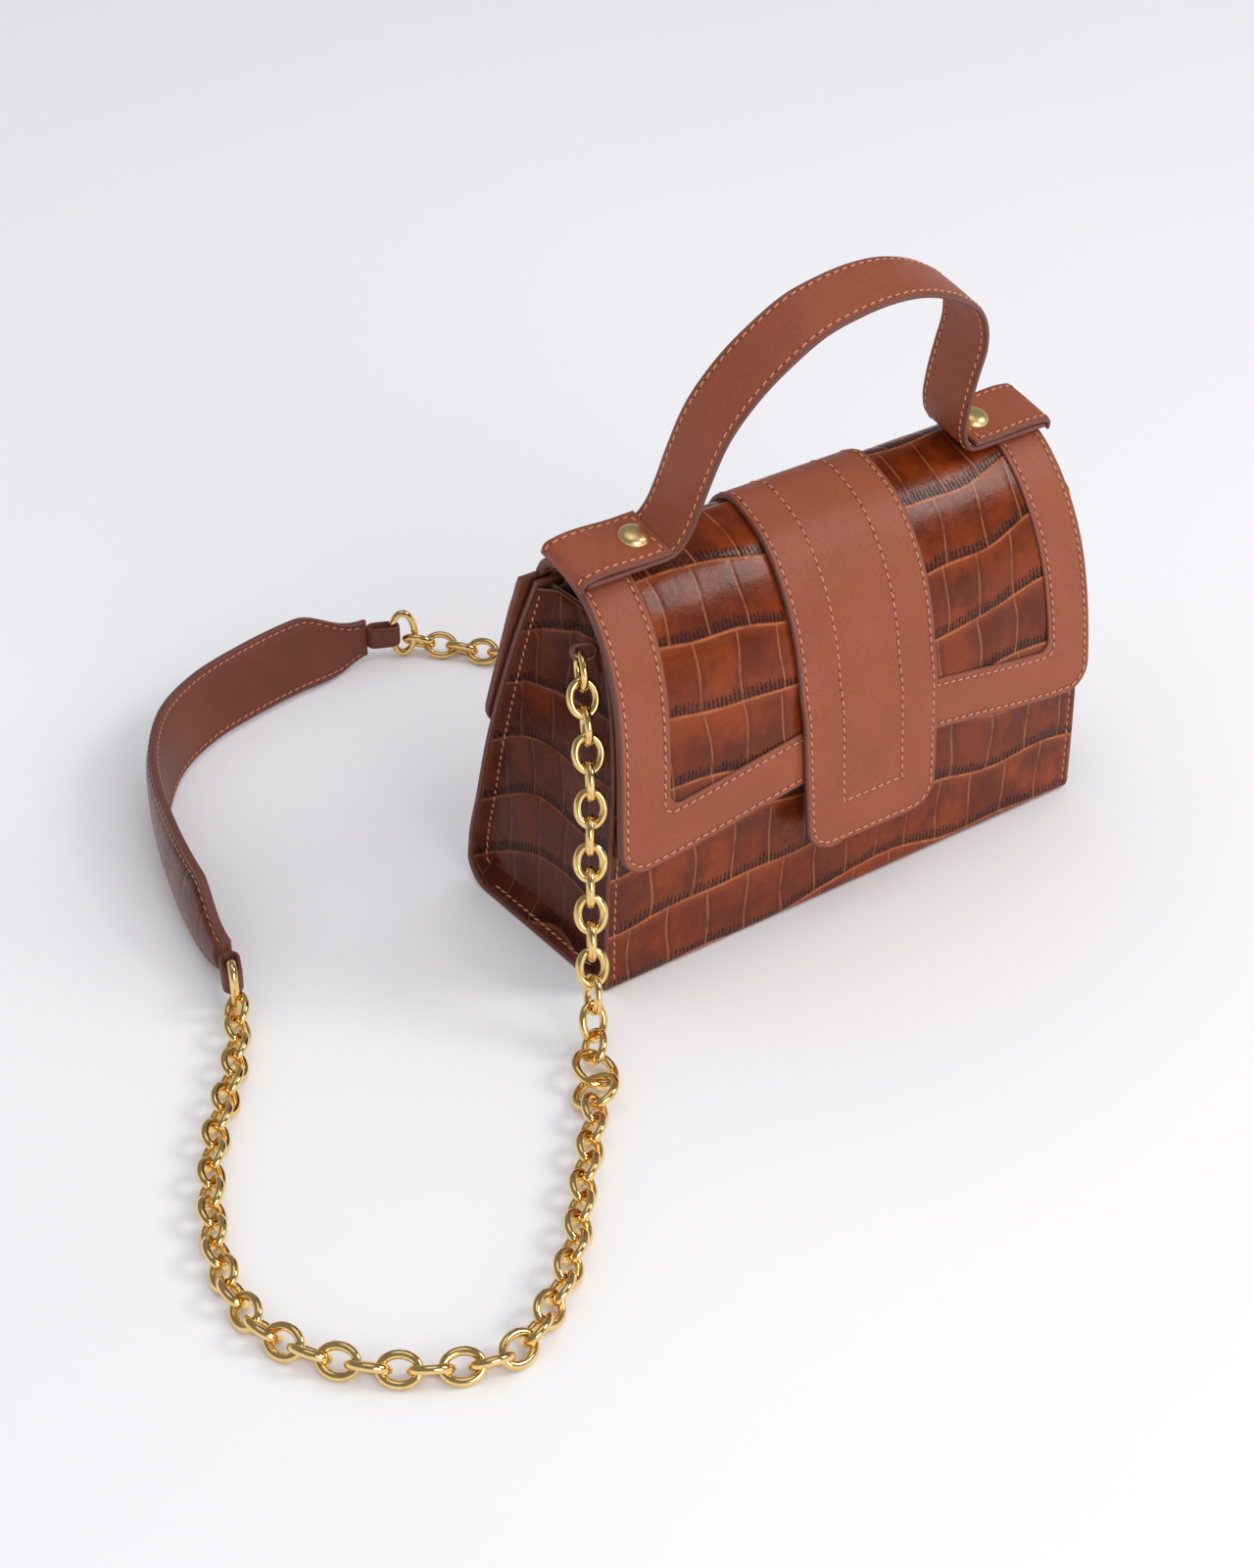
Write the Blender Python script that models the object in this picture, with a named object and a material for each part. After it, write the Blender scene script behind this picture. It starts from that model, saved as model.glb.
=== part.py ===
"""A small structured handbag with a flap, a top handle and a chain shoulder strap.

Metres, +Z up. X runs along the bag's width, the front faces -Y, and the origin is the centre of the
base on the surface that the bag stands on.
"""

import math

import bmesh
import bpy
import numpy as np
from mathutils import Vector

for old in list(bpy.data.objects):
    bpy.data.objects.remove(old, do_unlink=True)

# Body
BASE_WIDTH = 0.190
BASE_DEPTH = 0.0755
FRONT_HEIGHT = 0.1175
BACK_HEIGHT = 0.1225
FRONT_SIDE_LEAN = 0.0095
BACK_SIDE_LEAN = 0.0040
TOP_FRONT_WIDTH = BASE_WIDTH - 2 * FRONT_SIDE_LEAN
TOP_BACK_WIDTH = BASE_WIDTH - 2 * BACK_SIDE_LEAN
FRONT_CORNER = 0.003
BACK_CORNER = 0.010
FOLD_CORNER_SHARE = 1.3
WRAP_THICKNESS = 0.0016
BOARD_THICKNESS = 0.0009
LINING_THICKNESS = 0.0005
CLEARANCE = 0.0003
PANEL_STEP = 0.007

# Gussets
GUSSET_THICKNESS = 0.0010
GUSSET_RECESS = 0.0055
GUSSET_FOLD = 0.0025
GUSSET_SET = 0.0008

# Pocket on the back lining
POCKET_WIDTH = 0.110
POCKET_HEIGHT = 0.055
POCKET_BASE = 0.034
POCKET_THICKNESS = 0.0008
POCKET_RADIUS = 0.006

# Flap and rear yoke
FLAP_HEIGHT = 0.131
FLAP_FORWARD = 0.0074
FLAP_TOP_INSET = 0.0070
FLAP_LOW_INSET = 0.0019
YOKE_INSET = 0.0010
FLAP_TOP_WIDTH = BASE_WIDTH - 2 * FLAP_TOP_INSET
FLAP_LOW_WIDTH = BASE_WIDTH - 2 * FLAP_LOW_INSET
YOKE_WIDTH = BASE_WIDTH - 2 * YOKE_INSET
YOKE_CORNER = 0.011
YOKE_THICKNESS = 0.0020
YOKE_FILLER_WIDTH = 0.150
YOKE_FILLER_HEIGHT = 0.018
YOKE_FILLER_TOP = 0.116
BORDER_WIDTH = 0.0178
BORDER_THICKNESS = 0.0009
PANEL_THICKNESS = 0.0009
FLAP_LINING_THICKNESS = 0.0005
FLAP_CORNER = 0.009
WINDOW_CORNER = 0.003
FLAP_STRAIGHT = 0.024
FLAP_LENGTH = 0.1165
FLAP_CORNER_DROP = 0.009
SKIN_INSET = 0.0006
HINGE_GAP = 0.0006
FLAP_STEP = 0.0045

# Centre tab
TAB_WIDTH = 0.0525
TAB_LENGTH = 0.1335
TAB_START = 0.004
TAB_CORNER = 0.008
TAB_THICKNESS = 0.0011
TAB_BACKING_THICKNESS = 0.0006
TAB_BACKING_INSET = 0.0004

# Magnetic snap
SNAP_RADIUS = 0.008
SNAP_HEIGHT = 0.033
SNAP_RIM = 0.0012
SNAP_RECESS = 0.0006
SNAP_SOCKET_THICKNESS = 0.0030
POST_RADIUS = 0.0015
POST_HOLE_RADIUS = 0.0018
SNAP_WASHER_RADIUS = 0.0065

# Handle
HANDLE_WIDTH = 0.0205
HANDLE_THICKNESS = 0.0017
HANDLE_HEIGHT = 0.0713
HANDLE_DRAW = 0.0093
HANDLE_TILT = math.radians(14.0)
HANDLE_BACK = 0.0004
HANDLE_SEAT = 0.1323
FOOT_SET = 0.0008
CREASE_SET = 0.0280
CREASE_BEND = 0.0045
HANDLE_STEP = 0.006
TOP_TAB_THICKNESS = 0.0015
TOP_TAB_TURN = 0.0030
TOP_TAB_DROP = 0.0045
RIVET_SET = 0.0230
RIVET_RADIUS = 0.0049
RIVET_DOME = 0.0027
RIVET_WASHER_RADIUS = 0.0034
RIVET_WASHER_SET = 0.0007
RIVET_WASHER_THICKNESS = 0.0006

# Chain strap
WIRE = 0.0025
LINK_WIDTH = 0.0101
LINK_PITCH = 0.00795
LINK_WELD = 0.00028
CONNECTOR_RING = 0.0150
CONNECTOR_WIRE = 0.0026
HANGING_LINKS = 14
RUN_LINKS = 7
EASE_START_SHARE = 0.6
EASE_SPAN_SHARE = 0.35
LINK_ROLL = math.radians(45.0)
RING_ROLL = math.radians(25.0)
ANCHOR_RING = 0.0130
ANCHOR_WIRE = 0.0022
LOOP_WIDTH = 0.0034
LOOP_THICKNESS = 0.0009
LOOP_LENGTH = 0.0026
LOOP_EYE = 0.0018
PAD_RING_HEIGHT = 0.0185
PAD_RING_LENGTH = 0.0110
PAD_RING_PLAY = 0.0008
PAD_WIDTH = 0.0250
PAD_END_WIDTH = 0.0140
PAD_TAPER = 0.026
PAD_THICKNESS = 0.0012
PAD_CROWN = 0.0022
PAD_BACKING_THICKNESS = 0.0012
PAD_STEP = 0.0085
PAD_LIFT = 0.0007
PAD_LOOP_WIDTH = 0.0080
PAD_LOOP_EYE = 0.0022
PAD_SET = 0.0009
PAD_LOOP_LENGTH = 0.0060
PAD_LOOP_THICKNESS = 0.0010
PAD_LEAN_FAR = math.radians(26.0)
PAD_LEAN_NEAR = math.radians(-8.0)

# Flap's outer face from the rear yoke's lower edge over the top to the front, as shares of the flap's
# reach forward of the bag's middle and of its height
FLAP_FACE_SHARES = [
    (0.6438, 0.458), (0.5685, 0.542), (0.4983, 0.611), (0.4181, 0.687), (0.3319, 0.771),
    (0.2592, 0.840), (0.2040, 0.885), (0.1505, 0.930), (0.0485, 0.981), (-0.0886, 0.998),
    (-0.2659, 0.979), (-0.4206, 0.950), (-0.5644, 0.902), (-0.6864, 0.842), (-0.7843, 0.773),
    (-0.8553, 0.695), (-0.9038, 0.603), (-0.9348, 0.504), (-0.9565, 0.397), (-0.9791, 0.290),
    (-0.9966, 0.153), (-1.0008, 0.060),
]
# The seam where the flap bends lies on that line's point of this height share
HINGE_HEIGHT_SHARE = 0.940

# Body's outer face: front from the top down, then the back from the corner up, same kind of shares
FRONT_FACE_SHARES = [
    (-0.543, 1.000), (-0.640, 0.957), (-0.755, 0.885), (-0.860, 0.800), (-0.940, 0.700),
    (-0.985, 0.600), (-1.000, 0.500), (-1.000, 0.250),
]
BACK_FACE_SHARES = [
    (0.975, 0.120), (0.835, 0.290), (0.668, 0.490), (0.497, 0.655), (0.290, 0.835), (0.066, 1.000),
]

# Handle's outer face, from the left crease over the arch to the right one, as shares of its spread
# and of its height above the seat
HANDLE_SHARES = [
    (-1.125, 0.032), (-1.075, 0.080), (-1.035, 0.175), (-0.990, 0.343), (-0.907, 0.550),
    (-0.736, 0.729), (-0.545, 0.850), (-0.343, 0.940), (-0.126, 0.982), (0.097, 1.000),
    (0.341, 0.985), (0.533, 0.942), (0.712, 0.877), (0.860, 0.799), (0.958, 0.691), (1.000, 0.585),
    (0.998, 0.424), (1.002, 0.269), (1.030, 0.140), (1.075, 0.070), (1.125, 0.032),
]

# Strap's route as it lies. Each X counts from a side of the base: the right side for the right strand
# until it has passed behind the bag, and the left side for all the rest
LEFT_ROUTE = [
    (0.0027, -0.0238, 0.0965), (0.0007, -0.0284, 0.0860), (-0.0032, -0.0352, 0.0680),
    (-0.0075, -0.0407, 0.0500), (-0.0115, -0.0467, 0.0320), (-0.0153, -0.0525, 0.0165),
    (-0.0193, -0.0583, 0.0074), (-0.0240, -0.0655, 0.0049), (-0.0370, -0.0835, 0.0044),
    (-0.0560, -0.1050, 0.0041), (-0.0755, -0.1270, 0.0041), (-0.0900, -0.1385, 0.0041),
    (-0.1080, -0.1465, 0.0041), (-0.1250, -0.1405, 0.0041), (-0.1430, -0.1250, 0.0041),
    (-0.1540, -0.1030, 0.0041), (-0.1525, -0.0790, 0.0041), (-0.1425, -0.0540, 0.0041),
    (-0.1280, -0.0300, 0.0041), (-0.1080, -0.0050, 0.0041), (-0.0975, 0.0120, 0.0046),
    (-0.0922, 0.0235, 0.0078), (-0.0890, 0.0350, 0.0095),
]
RIGHT_ROUTE = [
    (-0.0025, -0.0232, 0.0965), (-0.0007, -0.0262, 0.0860), (0.0028, -0.0268, 0.0680),
    (0.0065, -0.0222, 0.0500), (0.0100, -0.0142, 0.0320), (0.0138, -0.0036, 0.0165),
    (0.0175, 0.0060, 0.0078), (0.0225, 0.0160, 0.0049), (0.0320, 0.0320, 0.0044),
    (0.0385, 0.0550, 0.0041), (0.0345, 0.0790, 0.0041), (0.0170, 0.0935, 0.0041),
]
REAR_ROUTE = [
    (0.1830, 0.0870, 0.0041), (0.1570, 0.0780, 0.0041), (0.1300, 0.0850, 0.0041),
    (0.1100, 0.1020, 0.0041), (0.0940, 0.1240, 0.0041), (0.0790, 0.1450, 0.0041),
    (0.0660, 0.1610, 0.0046), (0.0555, 0.1670, 0.0078), (0.0440, 0.1700, 0.0095),
]
PAD_ROUTE = [
    (-0.0862, 0.0480), (-0.0825, 0.0680), (-0.0765, 0.0900), (-0.0690, 0.1110), (-0.0585, 0.1310),
    (-0.0445, 0.1475), (-0.0270, 0.1585), (-0.0060, 0.1655), (0.0160, 0.1700), (0.0330, 0.1710),
]

LEATHER = ("smooth_leather", (0.36, 0.105, 0.055), 0.55, 0.0)
CROC = ("croc_leather", (0.22, 0.055, 0.018), 0.25, 0.0)
SUEDE = ("lining", (0.30, 0.17, 0.10), 0.9, 0.0)
BOARD = ("board", (0.45, 0.38, 0.28), 0.9, 0.0)
GOLD = ("gold", (0.83, 0.58, 0.20), 0.2, 1.0)
STEEL = ("steel", (0.6, 0.6, 0.58), 0.35, 1.0)


def shares_to_sizes(shares, reach, height):
    """Points in (y, z) from shares of a reach from the middle and of a height."""
    return [(y * reach, z * height) for y, z in shares]


class Route:
    """A smooth curve through points, read by the length along it."""

    DENSE = 24

    def __init__(self, points):
        p = np.array(points, float)
        spans = np.linalg.norm(np.diff(p, axis=0), axis=1)
        slopes = np.diff(p, axis=0) / spans[:, None]
        inner = [
            (before * after_span + after * before_span) / (before_span + after_span)
            for before, after, before_span, after_span in zip(slopes, slopes[1:], spans, spans[1:])
        ]
        speeds = [slopes[0], *inner, slopes[-1]]
        dense = [p[0]]
        for n, span in enumerate(spans):
            for k in range(1, self.DENSE + 1):
                t = k / self.DENSE
                dense.append(
                    (1 + 2 * t) * (1 - t) ** 2 * p[n] + t * (1 - t) ** 2 * span * speeds[n]
                    + t * t * (3 - 2 * t) * p[n + 1] - t * t * (1 - t) * span * speeds[n + 1]
                )
        self.points = np.array(dense)
        steps = np.linalg.norm(np.diff(self.points, axis=0), axis=1)
        self.along = np.concatenate([[0.0], np.cumsum(steps)])
        self.length = self.along[-1]

    def at(self, s):
        """The point at length s."""
        return np.array([np.interp(s, self.along, axis) for axis in self.points.T])

    def tangent(self, s):
        """The unit direction of travel at length s."""
        half = self.length / (self.DENSE * self.DENSE)
        step = self.at(min(s + half, self.length)) - self.at(max(s - half, 0.0))
        return step / np.linalg.norm(step)

    def where(self, axis, value):
        """The first length at which a coordinate passes a value."""
        above = self.points[:, axis] > value
        change = int(np.argmax(above != above[0]))
        return self.along[change]


class Face(Route):
    """A curve in (y, z) that a sheet follows, with its outer side to the right of travel."""

    def point(self, x, s, depth):
        """The place at x along the width, s along the curve, and depth inside the outer face."""
        y, z = self.at(s)
        ty, tz = self.tangent(s)
        return Vector((x, y - tz * depth, z + ty * depth))


FLAP_FACE = Face(shares_to_sizes(FLAP_FACE_SHARES, BASE_DEPTH / 2 + FLAP_FORWARD, FLAP_HEIGHT))
HINGE_S = FLAP_FACE.where(1, HINGE_HEIGHT_SHARE * FLAP_HEIGHT)
HINGE_POINT = FLAP_FACE.at(HINGE_S)


def body_face():
    """The wrap's outer face from the front's top edge under the base to the back's top edge."""
    half = BASE_DEPTH / 2
    front = shares_to_sizes(FRONT_FACE_SHARES, half, FRONT_HEIGHT)
    back = shares_to_sizes(BACK_FACE_SHARES, half, BACK_HEIGHT)
    corner = [(-half, FRONT_CORNER * 2)]
    for k in range(4):
        turn = math.radians(90 * k / 3)
        corner.append((-half + FRONT_CORNER * (1 - math.cos(turn)), FRONT_CORNER * (1 - math.sin(turn))))
    under = [(-half + FRONT_CORNER * 2, 0.0), (0.0, 0.0), (half - BACK_CORNER * FOLD_CORNER_SHARE, 0.0)]
    for k in range(5):
        turn = math.radians(70 * k / 4)
        under.append((half - BACK_CORNER * (1 - math.sin(turn)), BACK_CORNER * (1 - math.cos(turn))))
    return Face(front + corner + under + back)


BODY_FACE = body_face()


def spaced(start, end, step):
    """Even stations from start to end, no further apart than step."""
    count = max(2, math.ceil(abs(end - start) / step) + 1)
    return [start + (end - start) * k / (count - 1) for k in range(count)]


def body_half_width(s):
    """Half the wrap's width at s: full at the base, narrower towards both top edges."""
    z = BODY_FACE.at(s)[1]
    front = s < BODY_FACE.length / 2
    top, height = (TOP_FRONT_WIDTH, FRONT_HEIGHT) if front else (TOP_BACK_WIDTH, BACK_HEIGHT)
    rise = min(1.0, max(0.0, z / height))
    return (BASE_WIDTH - (BASE_WIDTH - top) * rise**2.2) / 2


def smooth_step(share):
    """A share from 0 to 1, eased at both ends."""
    share = min(1.0, max(0.0, share))
    return share * share * (3 - 2 * share)


def flap_half_width(s):
    """Half the flap's width at s: narrow over the top, then wider towards the front edge."""
    spread = smooth_step((s - HINGE_S - FLAP_STRAIGHT) / (FLAP_LENGTH - FLAP_STRAIGHT))
    return (FLAP_TOP_WIDTH + (FLAP_LOW_WIDTH - FLAP_TOP_WIDTH) * spread) / 2


def flap_edge(x):
    """Where the flap's front edge lies at x: lowest at its corners."""
    wave = smooth_step(abs(x) * 2 / FLAP_LOW_WIDTH)
    return HINGE_S + FLAP_LENGTH + FLAP_CORNER_DROP * (wave - 1)


def material(spec):
    """The Blender material of a name, colour, roughness and metallic value."""
    name, colour, rough, metal = spec
    if name not in bpy.data.materials:
        made = bpy.data.materials.new(name)
        made.use_nodes = True
        shader = made.node_tree.nodes["Principled BSDF"]
        shader.inputs["Base Color"].default_value = (*colour, 1.0)
        shader.inputs["Roughness"].default_value = rough
        shader.inputs["Metallic"].default_value = metal
    return bpy.data.materials[name]


def add_object(name, bm, spec, smooth=False):
    """A named object from a bmesh, its faces turned outwards."""
    bmesh.ops.recalc_face_normals(bm, faces=bm.faces)
    mesh = bpy.data.meshes.new(name)
    bm.to_mesh(mesh)
    bm.free()
    if smooth:
        mesh.shade_smooth()
        mesh.set_sharp_from_angle(angle=math.radians(40))
    made = bpy.data.objects.new(name, mesh)
    mesh.materials.append(material(spec))
    bpy.context.scene.collection.objects.link(made)
    return made


def slab(name, outer, inner, spec, smooth=True):
    """A closed sheet between two grids of points of the same size."""
    bm = bmesh.new()
    rows, columns = len(outer), len(outer[0])
    top = [[bm.verts.new(p) for p in row] for row in outer]
    low = [[bm.verts.new(p) for p in row] for row in inner]
    for i in range(rows - 1):
        for j in range(columns - 1):
            bm.faces.new((top[i][j], top[i][j + 1], top[i + 1][j + 1], top[i + 1][j]))
            bm.faces.new((low[i][j], low[i + 1][j], low[i + 1][j + 1], low[i][j + 1]))
    rim = [(0, j) for j in range(columns)] + [(i, columns - 1) for i in range(1, rows)]
    rim += [(rows - 1, j) for j in range(columns - 2, -1, -1)] + [(i, 0) for i in range(rows - 2, 0, -1)]
    for (a, b), (c, d) in zip(rim, rim[1:] + rim[:1]):
        bm.faces.new((top[a][b], low[a][b], low[c][d], top[c][d]))
    return add_object(name, bm, spec, smooth)


def sheet(name, face, places, depth, thickness, spec):
    """A sheet on a face: places is a grid of (x, s), depth how far it lies inside the face."""
    outer = [[face.point(x, s, depth) for x, s in row] for row in places]
    inner = [[face.point(x, s, depth + thickness) for x, s in row] for row in places]
    return slab(name, outer, inner, spec)


def strip_places(stations, half_width, columns=2):
    """A grid of (x, s) that spans the half width on both sides of the middle."""
    return [
        [(half_width(s) * (2 * k / (columns - 1) - 1), s) for k in range(columns)]
        for s in stations
    ]


def tube(name, rings, spec, closed=False):
    """A tube through rings of points, capped unless it closes on itself."""
    bm = bmesh.new()
    loops = [[bm.verts.new(p) for p in ring] for ring in rings]
    sides = len(loops[0])
    pairs = list(zip(loops, loops[1:]))
    if closed:
        pairs.append((loops[-1], loops[0]))
    for first, second in pairs:
        for k in range(sides):
            bm.faces.new((first[k], first[(k + 1) % sides], second[(k + 1) % sides], second[k]))
    if not closed:
        bm.faces.new(loops[0])
        bm.faces.new(loops[-1])
    return add_object(name, bm, spec, smooth=True)


def turned(name, profile, base, axis, sides, spec):
    """A turned piece: profile is (radius, height) from one end of the axis to the other."""
    up = Vector(axis).normalized()
    side = up.orthogonal().normalized()
    front = up.cross(side)
    bm = bmesh.new()
    rings = []
    for radius, height in profile:
        centre = Vector(base) + up * height
        if radius == 0.0:
            rings.append([bm.verts.new(centre)])
            continue
        ring = []
        for k in range(sides):
            turn = 2 * math.pi * k / sides
            ring.append(bm.verts.new(centre + (side * math.cos(turn) + front * math.sin(turn)) * radius))
        rings.append(ring)
    for first, second in zip(rings, rings[1:]):
        for k in range(sides):
            a, b = first[k % len(first)], first[(k + 1) % len(first)]
            c, d = second[(k + 1) % len(second)], second[k % len(second)]
            corners = [v for n, v in enumerate((a, b, c, d)) if v not in (a, b, c, d)[:n]]
            bm.faces.new(corners)
    for ring in (rings[0], rings[-1]):
        if len(ring) > 1:
            bm.faces.new(ring)
    return add_object(name, bm, spec, smooth=True)


def hide_guide(guide):
    """Marks an object as a cutter or guide that is no piece of the bag."""
    guide.hide_render = True
    guide.display_type = "WIRE"
    return guide


def combine(target, guide, operation):
    """A Boolean of a target with a guide object."""
    step = target.modifiers.new(guide.name, "BOOLEAN")
    step.operation = operation
    step.solver = "EXACT"
    step.object = guide


def drill(targets, name, base, axis, radius, start, end, sides=12):
    """A round hole through the targets, along axis from start to end past the base point."""
    cutter = turned(name, [(radius, start), (radius, end)], base, axis, sides, STEEL)
    hide_guide(cutter)
    for target in targets:
        combine(target, cutter, "DIFFERENCE")


def washer_profile(outer, hole, thickness):
    """A flat ring's section, closed on itself at its first corner."""
    return [(hole, 0.0), (outer, 0.0), (outer, thickness), (hole, thickness)]


def washer(name, outer, hole, thickness, base, axis, sides, spec):
    """A flat washer whose lower face is centred on the base point."""
    up = Vector(axis).normalized()
    side = up.orthogonal().normalized()
    front = up.cross(side)
    rings = []
    for k in range(sides):
        turn = 2 * math.pi * k / sides
        out = side * math.cos(turn) + front * math.sin(turn)
        rings.append([Vector(base) + out * r + up * h for r, h in washer_profile(outer, hole, thickness)])
    return tube(name, rings, spec, closed=True)


def outline(start, edge, half_width, corner, inset=0.0, step=FLAP_STEP):
    """(x, s) down the left side of a tongue, along its edge and up the right side."""
    reach = edge(half_width(start)) - inset - corner
    count = math.ceil((edge(0.0) - start) / step)
    side = [(half_width(s) - inset, s) for s in np.linspace(start, reach, count)]
    low_half = half_width(reach) - inset
    for k in range(1, 4):
        turn = math.radians(90 * k / 4)
        side.append((low_half - corner * (1 - math.cos(turn)), reach + corner * math.sin(turn)))
    bottom = []
    for x in np.linspace(-1, 1, 13) * (low_half - corner):
        bottom.append((x, edge(x) - inset))
    left = [(-x, s) for x, s in side]
    return left + bottom + side[::-1]


def tongue_places(start, edge, half_width, corner, step, columns=9):
    """A grid of (x, s) over a sheet with two rounded corners at its edge."""
    rows = []
    for share in np.linspace(0, 1, math.ceil(abs(edge(0.0) - start) / step) + 1):
        rows.append([(share, 0.0)] * columns)
    for rise in (0.38, 0.71, 0.92, 1.0):
        rows.append([(1.0, rise)] * columns)
    places = []
    way = 1 if edge(0.0) > start else -1
    for row in rows:
        line = []
        for k, (share, rise) in enumerate(row):
            across = 2 * k / (columns - 1) - 1
            guess = across * half_width(edge(0.0))
            reach = edge(guess) - way * corner
            s = start + (reach - start) * share + way * corner * rise
            line.append((across * (half_width(s) - corner * (1 - math.sqrt(1 - rise * rise))), s))
        places.append(line)
    return places


# Body wrap, boards, lining and pocket
BOARD_DEPTH = WRAP_THICKNESS + CLEARANCE
LINING_DEPTH = BOARD_DEPTH + BOARD_THICKNESS + CLEARANCE
POCKET_DEPTH = LINING_DEPTH + LINING_THICKNESS + CLEARANCE
INNER_EDGE = GUSSET_RECESS + GUSSET_THICKNESS + GUSSET_FOLD + CLEARANCE
BOARD_MARGIN = 0.004
BODY_HALF_LENGTH = BODY_FACE.where(0, 0.0)


def body_place(z, front):
    """The length along the body's face of a height on its front or its back."""
    low, high = (0.0, BODY_HALF_LENGTH) if front else (BODY_HALF_LENGTH, BODY_FACE.length)
    inside = (BODY_FACE.along >= low) & (BODY_FACE.along <= high)
    heights, lengths = BODY_FACE.points[inside, 1], BODY_FACE.along[inside]
    order = np.argsort(heights, kind="stable")
    return float(np.interp(z, heights[order], lengths[order]))


def body_stations(start, end):
    """Stations along the body's face, closer where it turns under the bag."""
    stations = [start]
    while stations[-1] < end:
        y, z = BODY_FACE.at(stations[-1])
        turning = z < BACK_CORNER and abs(y) > BASE_DEPTH / 2 - BACK_CORNER * FOLD_CORNER_SHARE
        stations.append(min(end, stations[-1] + (FRONT_CORNER / 2 if turning else PANEL_STEP)))
    if stations[-1] - stations[-2] < CLEARANCE:
        del stations[-2]
    return stations


def cut_corner(stations):
    """The stations without those in the sharp front corner, which an inner layer can't follow."""
    kept = []
    for s in stations:
        y, z = BODY_FACE.at(s)
        if z > BACK_CORNER / 2 or y > -BASE_DEPTH / 2 + BACK_CORNER / 2:
            kept.append(s)
    return kept


def narrower(margin):
    """The body's half width less a margin, as a function of s."""
    return lambda s: body_half_width(s) - margin


def body_sheet(name, start, end, margin, depth, thickness, spec):
    """A sheet that follows the body's face between two stations."""
    places = strip_places(body_stations(start, end), narrower(margin))
    return sheet(name, BODY_FACE, places, depth, thickness, spec)


wrap = body_sheet("body_wrap", 0.0, BODY_FACE.length, 0.0, 0.0, WRAP_THICKNESS, CROC)


def board(name, start, end):
    """A stiffener between the wrap and the lining."""
    return body_sheet(name, start, end, INNER_EDGE, BOARD_DEPTH, BOARD_THICKNESS, BOARD)


base_front = BODY_HALF_LENGTH - BASE_DEPTH / 2
base_back = BODY_HALF_LENGTH + BASE_DEPTH / 2
board_front = board("board_front", BOARD_MARGIN, body_place(BACK_CORNER, True))
board("board_base", base_front + BACK_CORNER / 2, base_back - BACK_CORNER)
board("board_back", body_place(BACK_CORNER + BOARD_MARGIN, False), BODY_FACE.length - BOARD_MARGIN)
lining_stations = cut_corner(body_stations(SKIN_INSET, BODY_FACE.length - SKIN_INSET))
lining_places = strip_places(lining_stations, narrower(INNER_EDGE))
sheet("lining", BODY_FACE, lining_places, LINING_DEPTH, LINING_THICKNESS, SUEDE)
pocket_places = strip_places(
    spaced(body_place(POCKET_BASE, False), body_place(POCKET_BASE + POCKET_HEIGHT, False), PANEL_STEP),
    lambda s: POCKET_WIDTH / 2,
)
sheet("slip_pocket", BODY_FACE, pocket_places, POCKET_DEPTH, POCKET_THICKNESS, SUEDE)


# Gussets, each a tray whose flange lies on the wrap's inner face, and their linings
WALL_SHARES = (0.985, 0.9, 0.78, 0.64, 0.5, 0.37, 0.25, 0.16)
TURN_SHARES = (0.85, 0.45)
LIFT_SHARE = 0.6
FOLD_SHARE = 0.18


def gusset_pairs():
    """Matching lengths down the front wall and the back wall, from the top to the base."""
    pairs = [
        (body_place(share * FRONT_HEIGHT, True), body_place(share * BACK_HEIGHT, False))
        for share in WALL_SHARES
    ]
    pairs += [(body_place(k * BACK_CORNER, True), body_place(k * BACK_CORNER, False)) for k in TURN_SHARES]
    return pairs + [(base_front + FRONT_CORNER, base_back - BACK_CORNER)]


def rung(pair, side, margin):
    """The two ends of a line across a gusset, drawn in by its bulge and a margin."""
    ends = []
    for s in pair:
        rise = BODY_FACE.at(s)[1] / BACK_HEIGHT
        inset = GUSSET_RECESS + GUSSET_FOLD * math.sin(math.pi * min(1.0, rise)) + margin
        ends.append(BODY_FACE.point(side * (body_half_width(s) - inset), s, BOARD_DEPTH))
    return ends


def gusset(name, side):
    """One gusset: flange, fold and main face as one sheet, then its thickness."""
    pairs = gusset_pairs()
    bm = bmesh.new()
    rows = []
    for n, pair in enumerate(pairs):
        near, far = rung(pair, side, 0.0)
        lift = Vector((0.0, 0.0, GUSSET_FOLD * LIFT_SHARE if n == len(pairs) - 1 else 0.0))
        row = []
        for s, a, b in ((pair[0], near, far), (pair[1], far, near)):
            edge = BODY_FACE.point(side * (body_half_width(s) - GUSSET_SET), s, BOARD_DEPTH)
            fold = BODY_FACE.point(side * (body_half_width(s) - GUSSET_RECESS), s, BOARD_DEPTH)
            row.append([bm.verts.new(v) for v in (edge, fold, a.lerp(b, FOLD_SHARE) + lift)])
        rows.append(row)
    border = [row[0] for row in rows] + [row[1] for row in reversed(rows)]
    for a, b in zip(border, border[1:]):
        bm.faces.new((a[0], a[1], b[1], b[0]))
        bm.faces.new((a[1], a[2], b[2], b[1]))
    for a, b in zip(rows, rows[1:]):
        bm.faces.new((a[0][2], a[1][2], b[1][2], b[0][2]))
    bm.normal_update()
    bm.faces.ensure_lookup_table()
    if bm.faces[-1].normal.x * side < 0:
        bmesh.ops.reverse_faces(bm, faces=bm.faces)
    mesh = bpy.data.meshes.new(name)
    bm.to_mesh(mesh)
    bm.free()
    mesh.materials.append(material(CROC))
    made = bpy.data.objects.new(name, mesh)
    bpy.context.scene.collection.objects.link(made)
    thicken = made.modifiers.new("thickness", "SOLIDIFY")
    thicken.thickness = GUSSET_THICKNESS
    thicken.offset = 1.0
    thicken.use_even_offset = True
    return made


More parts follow.
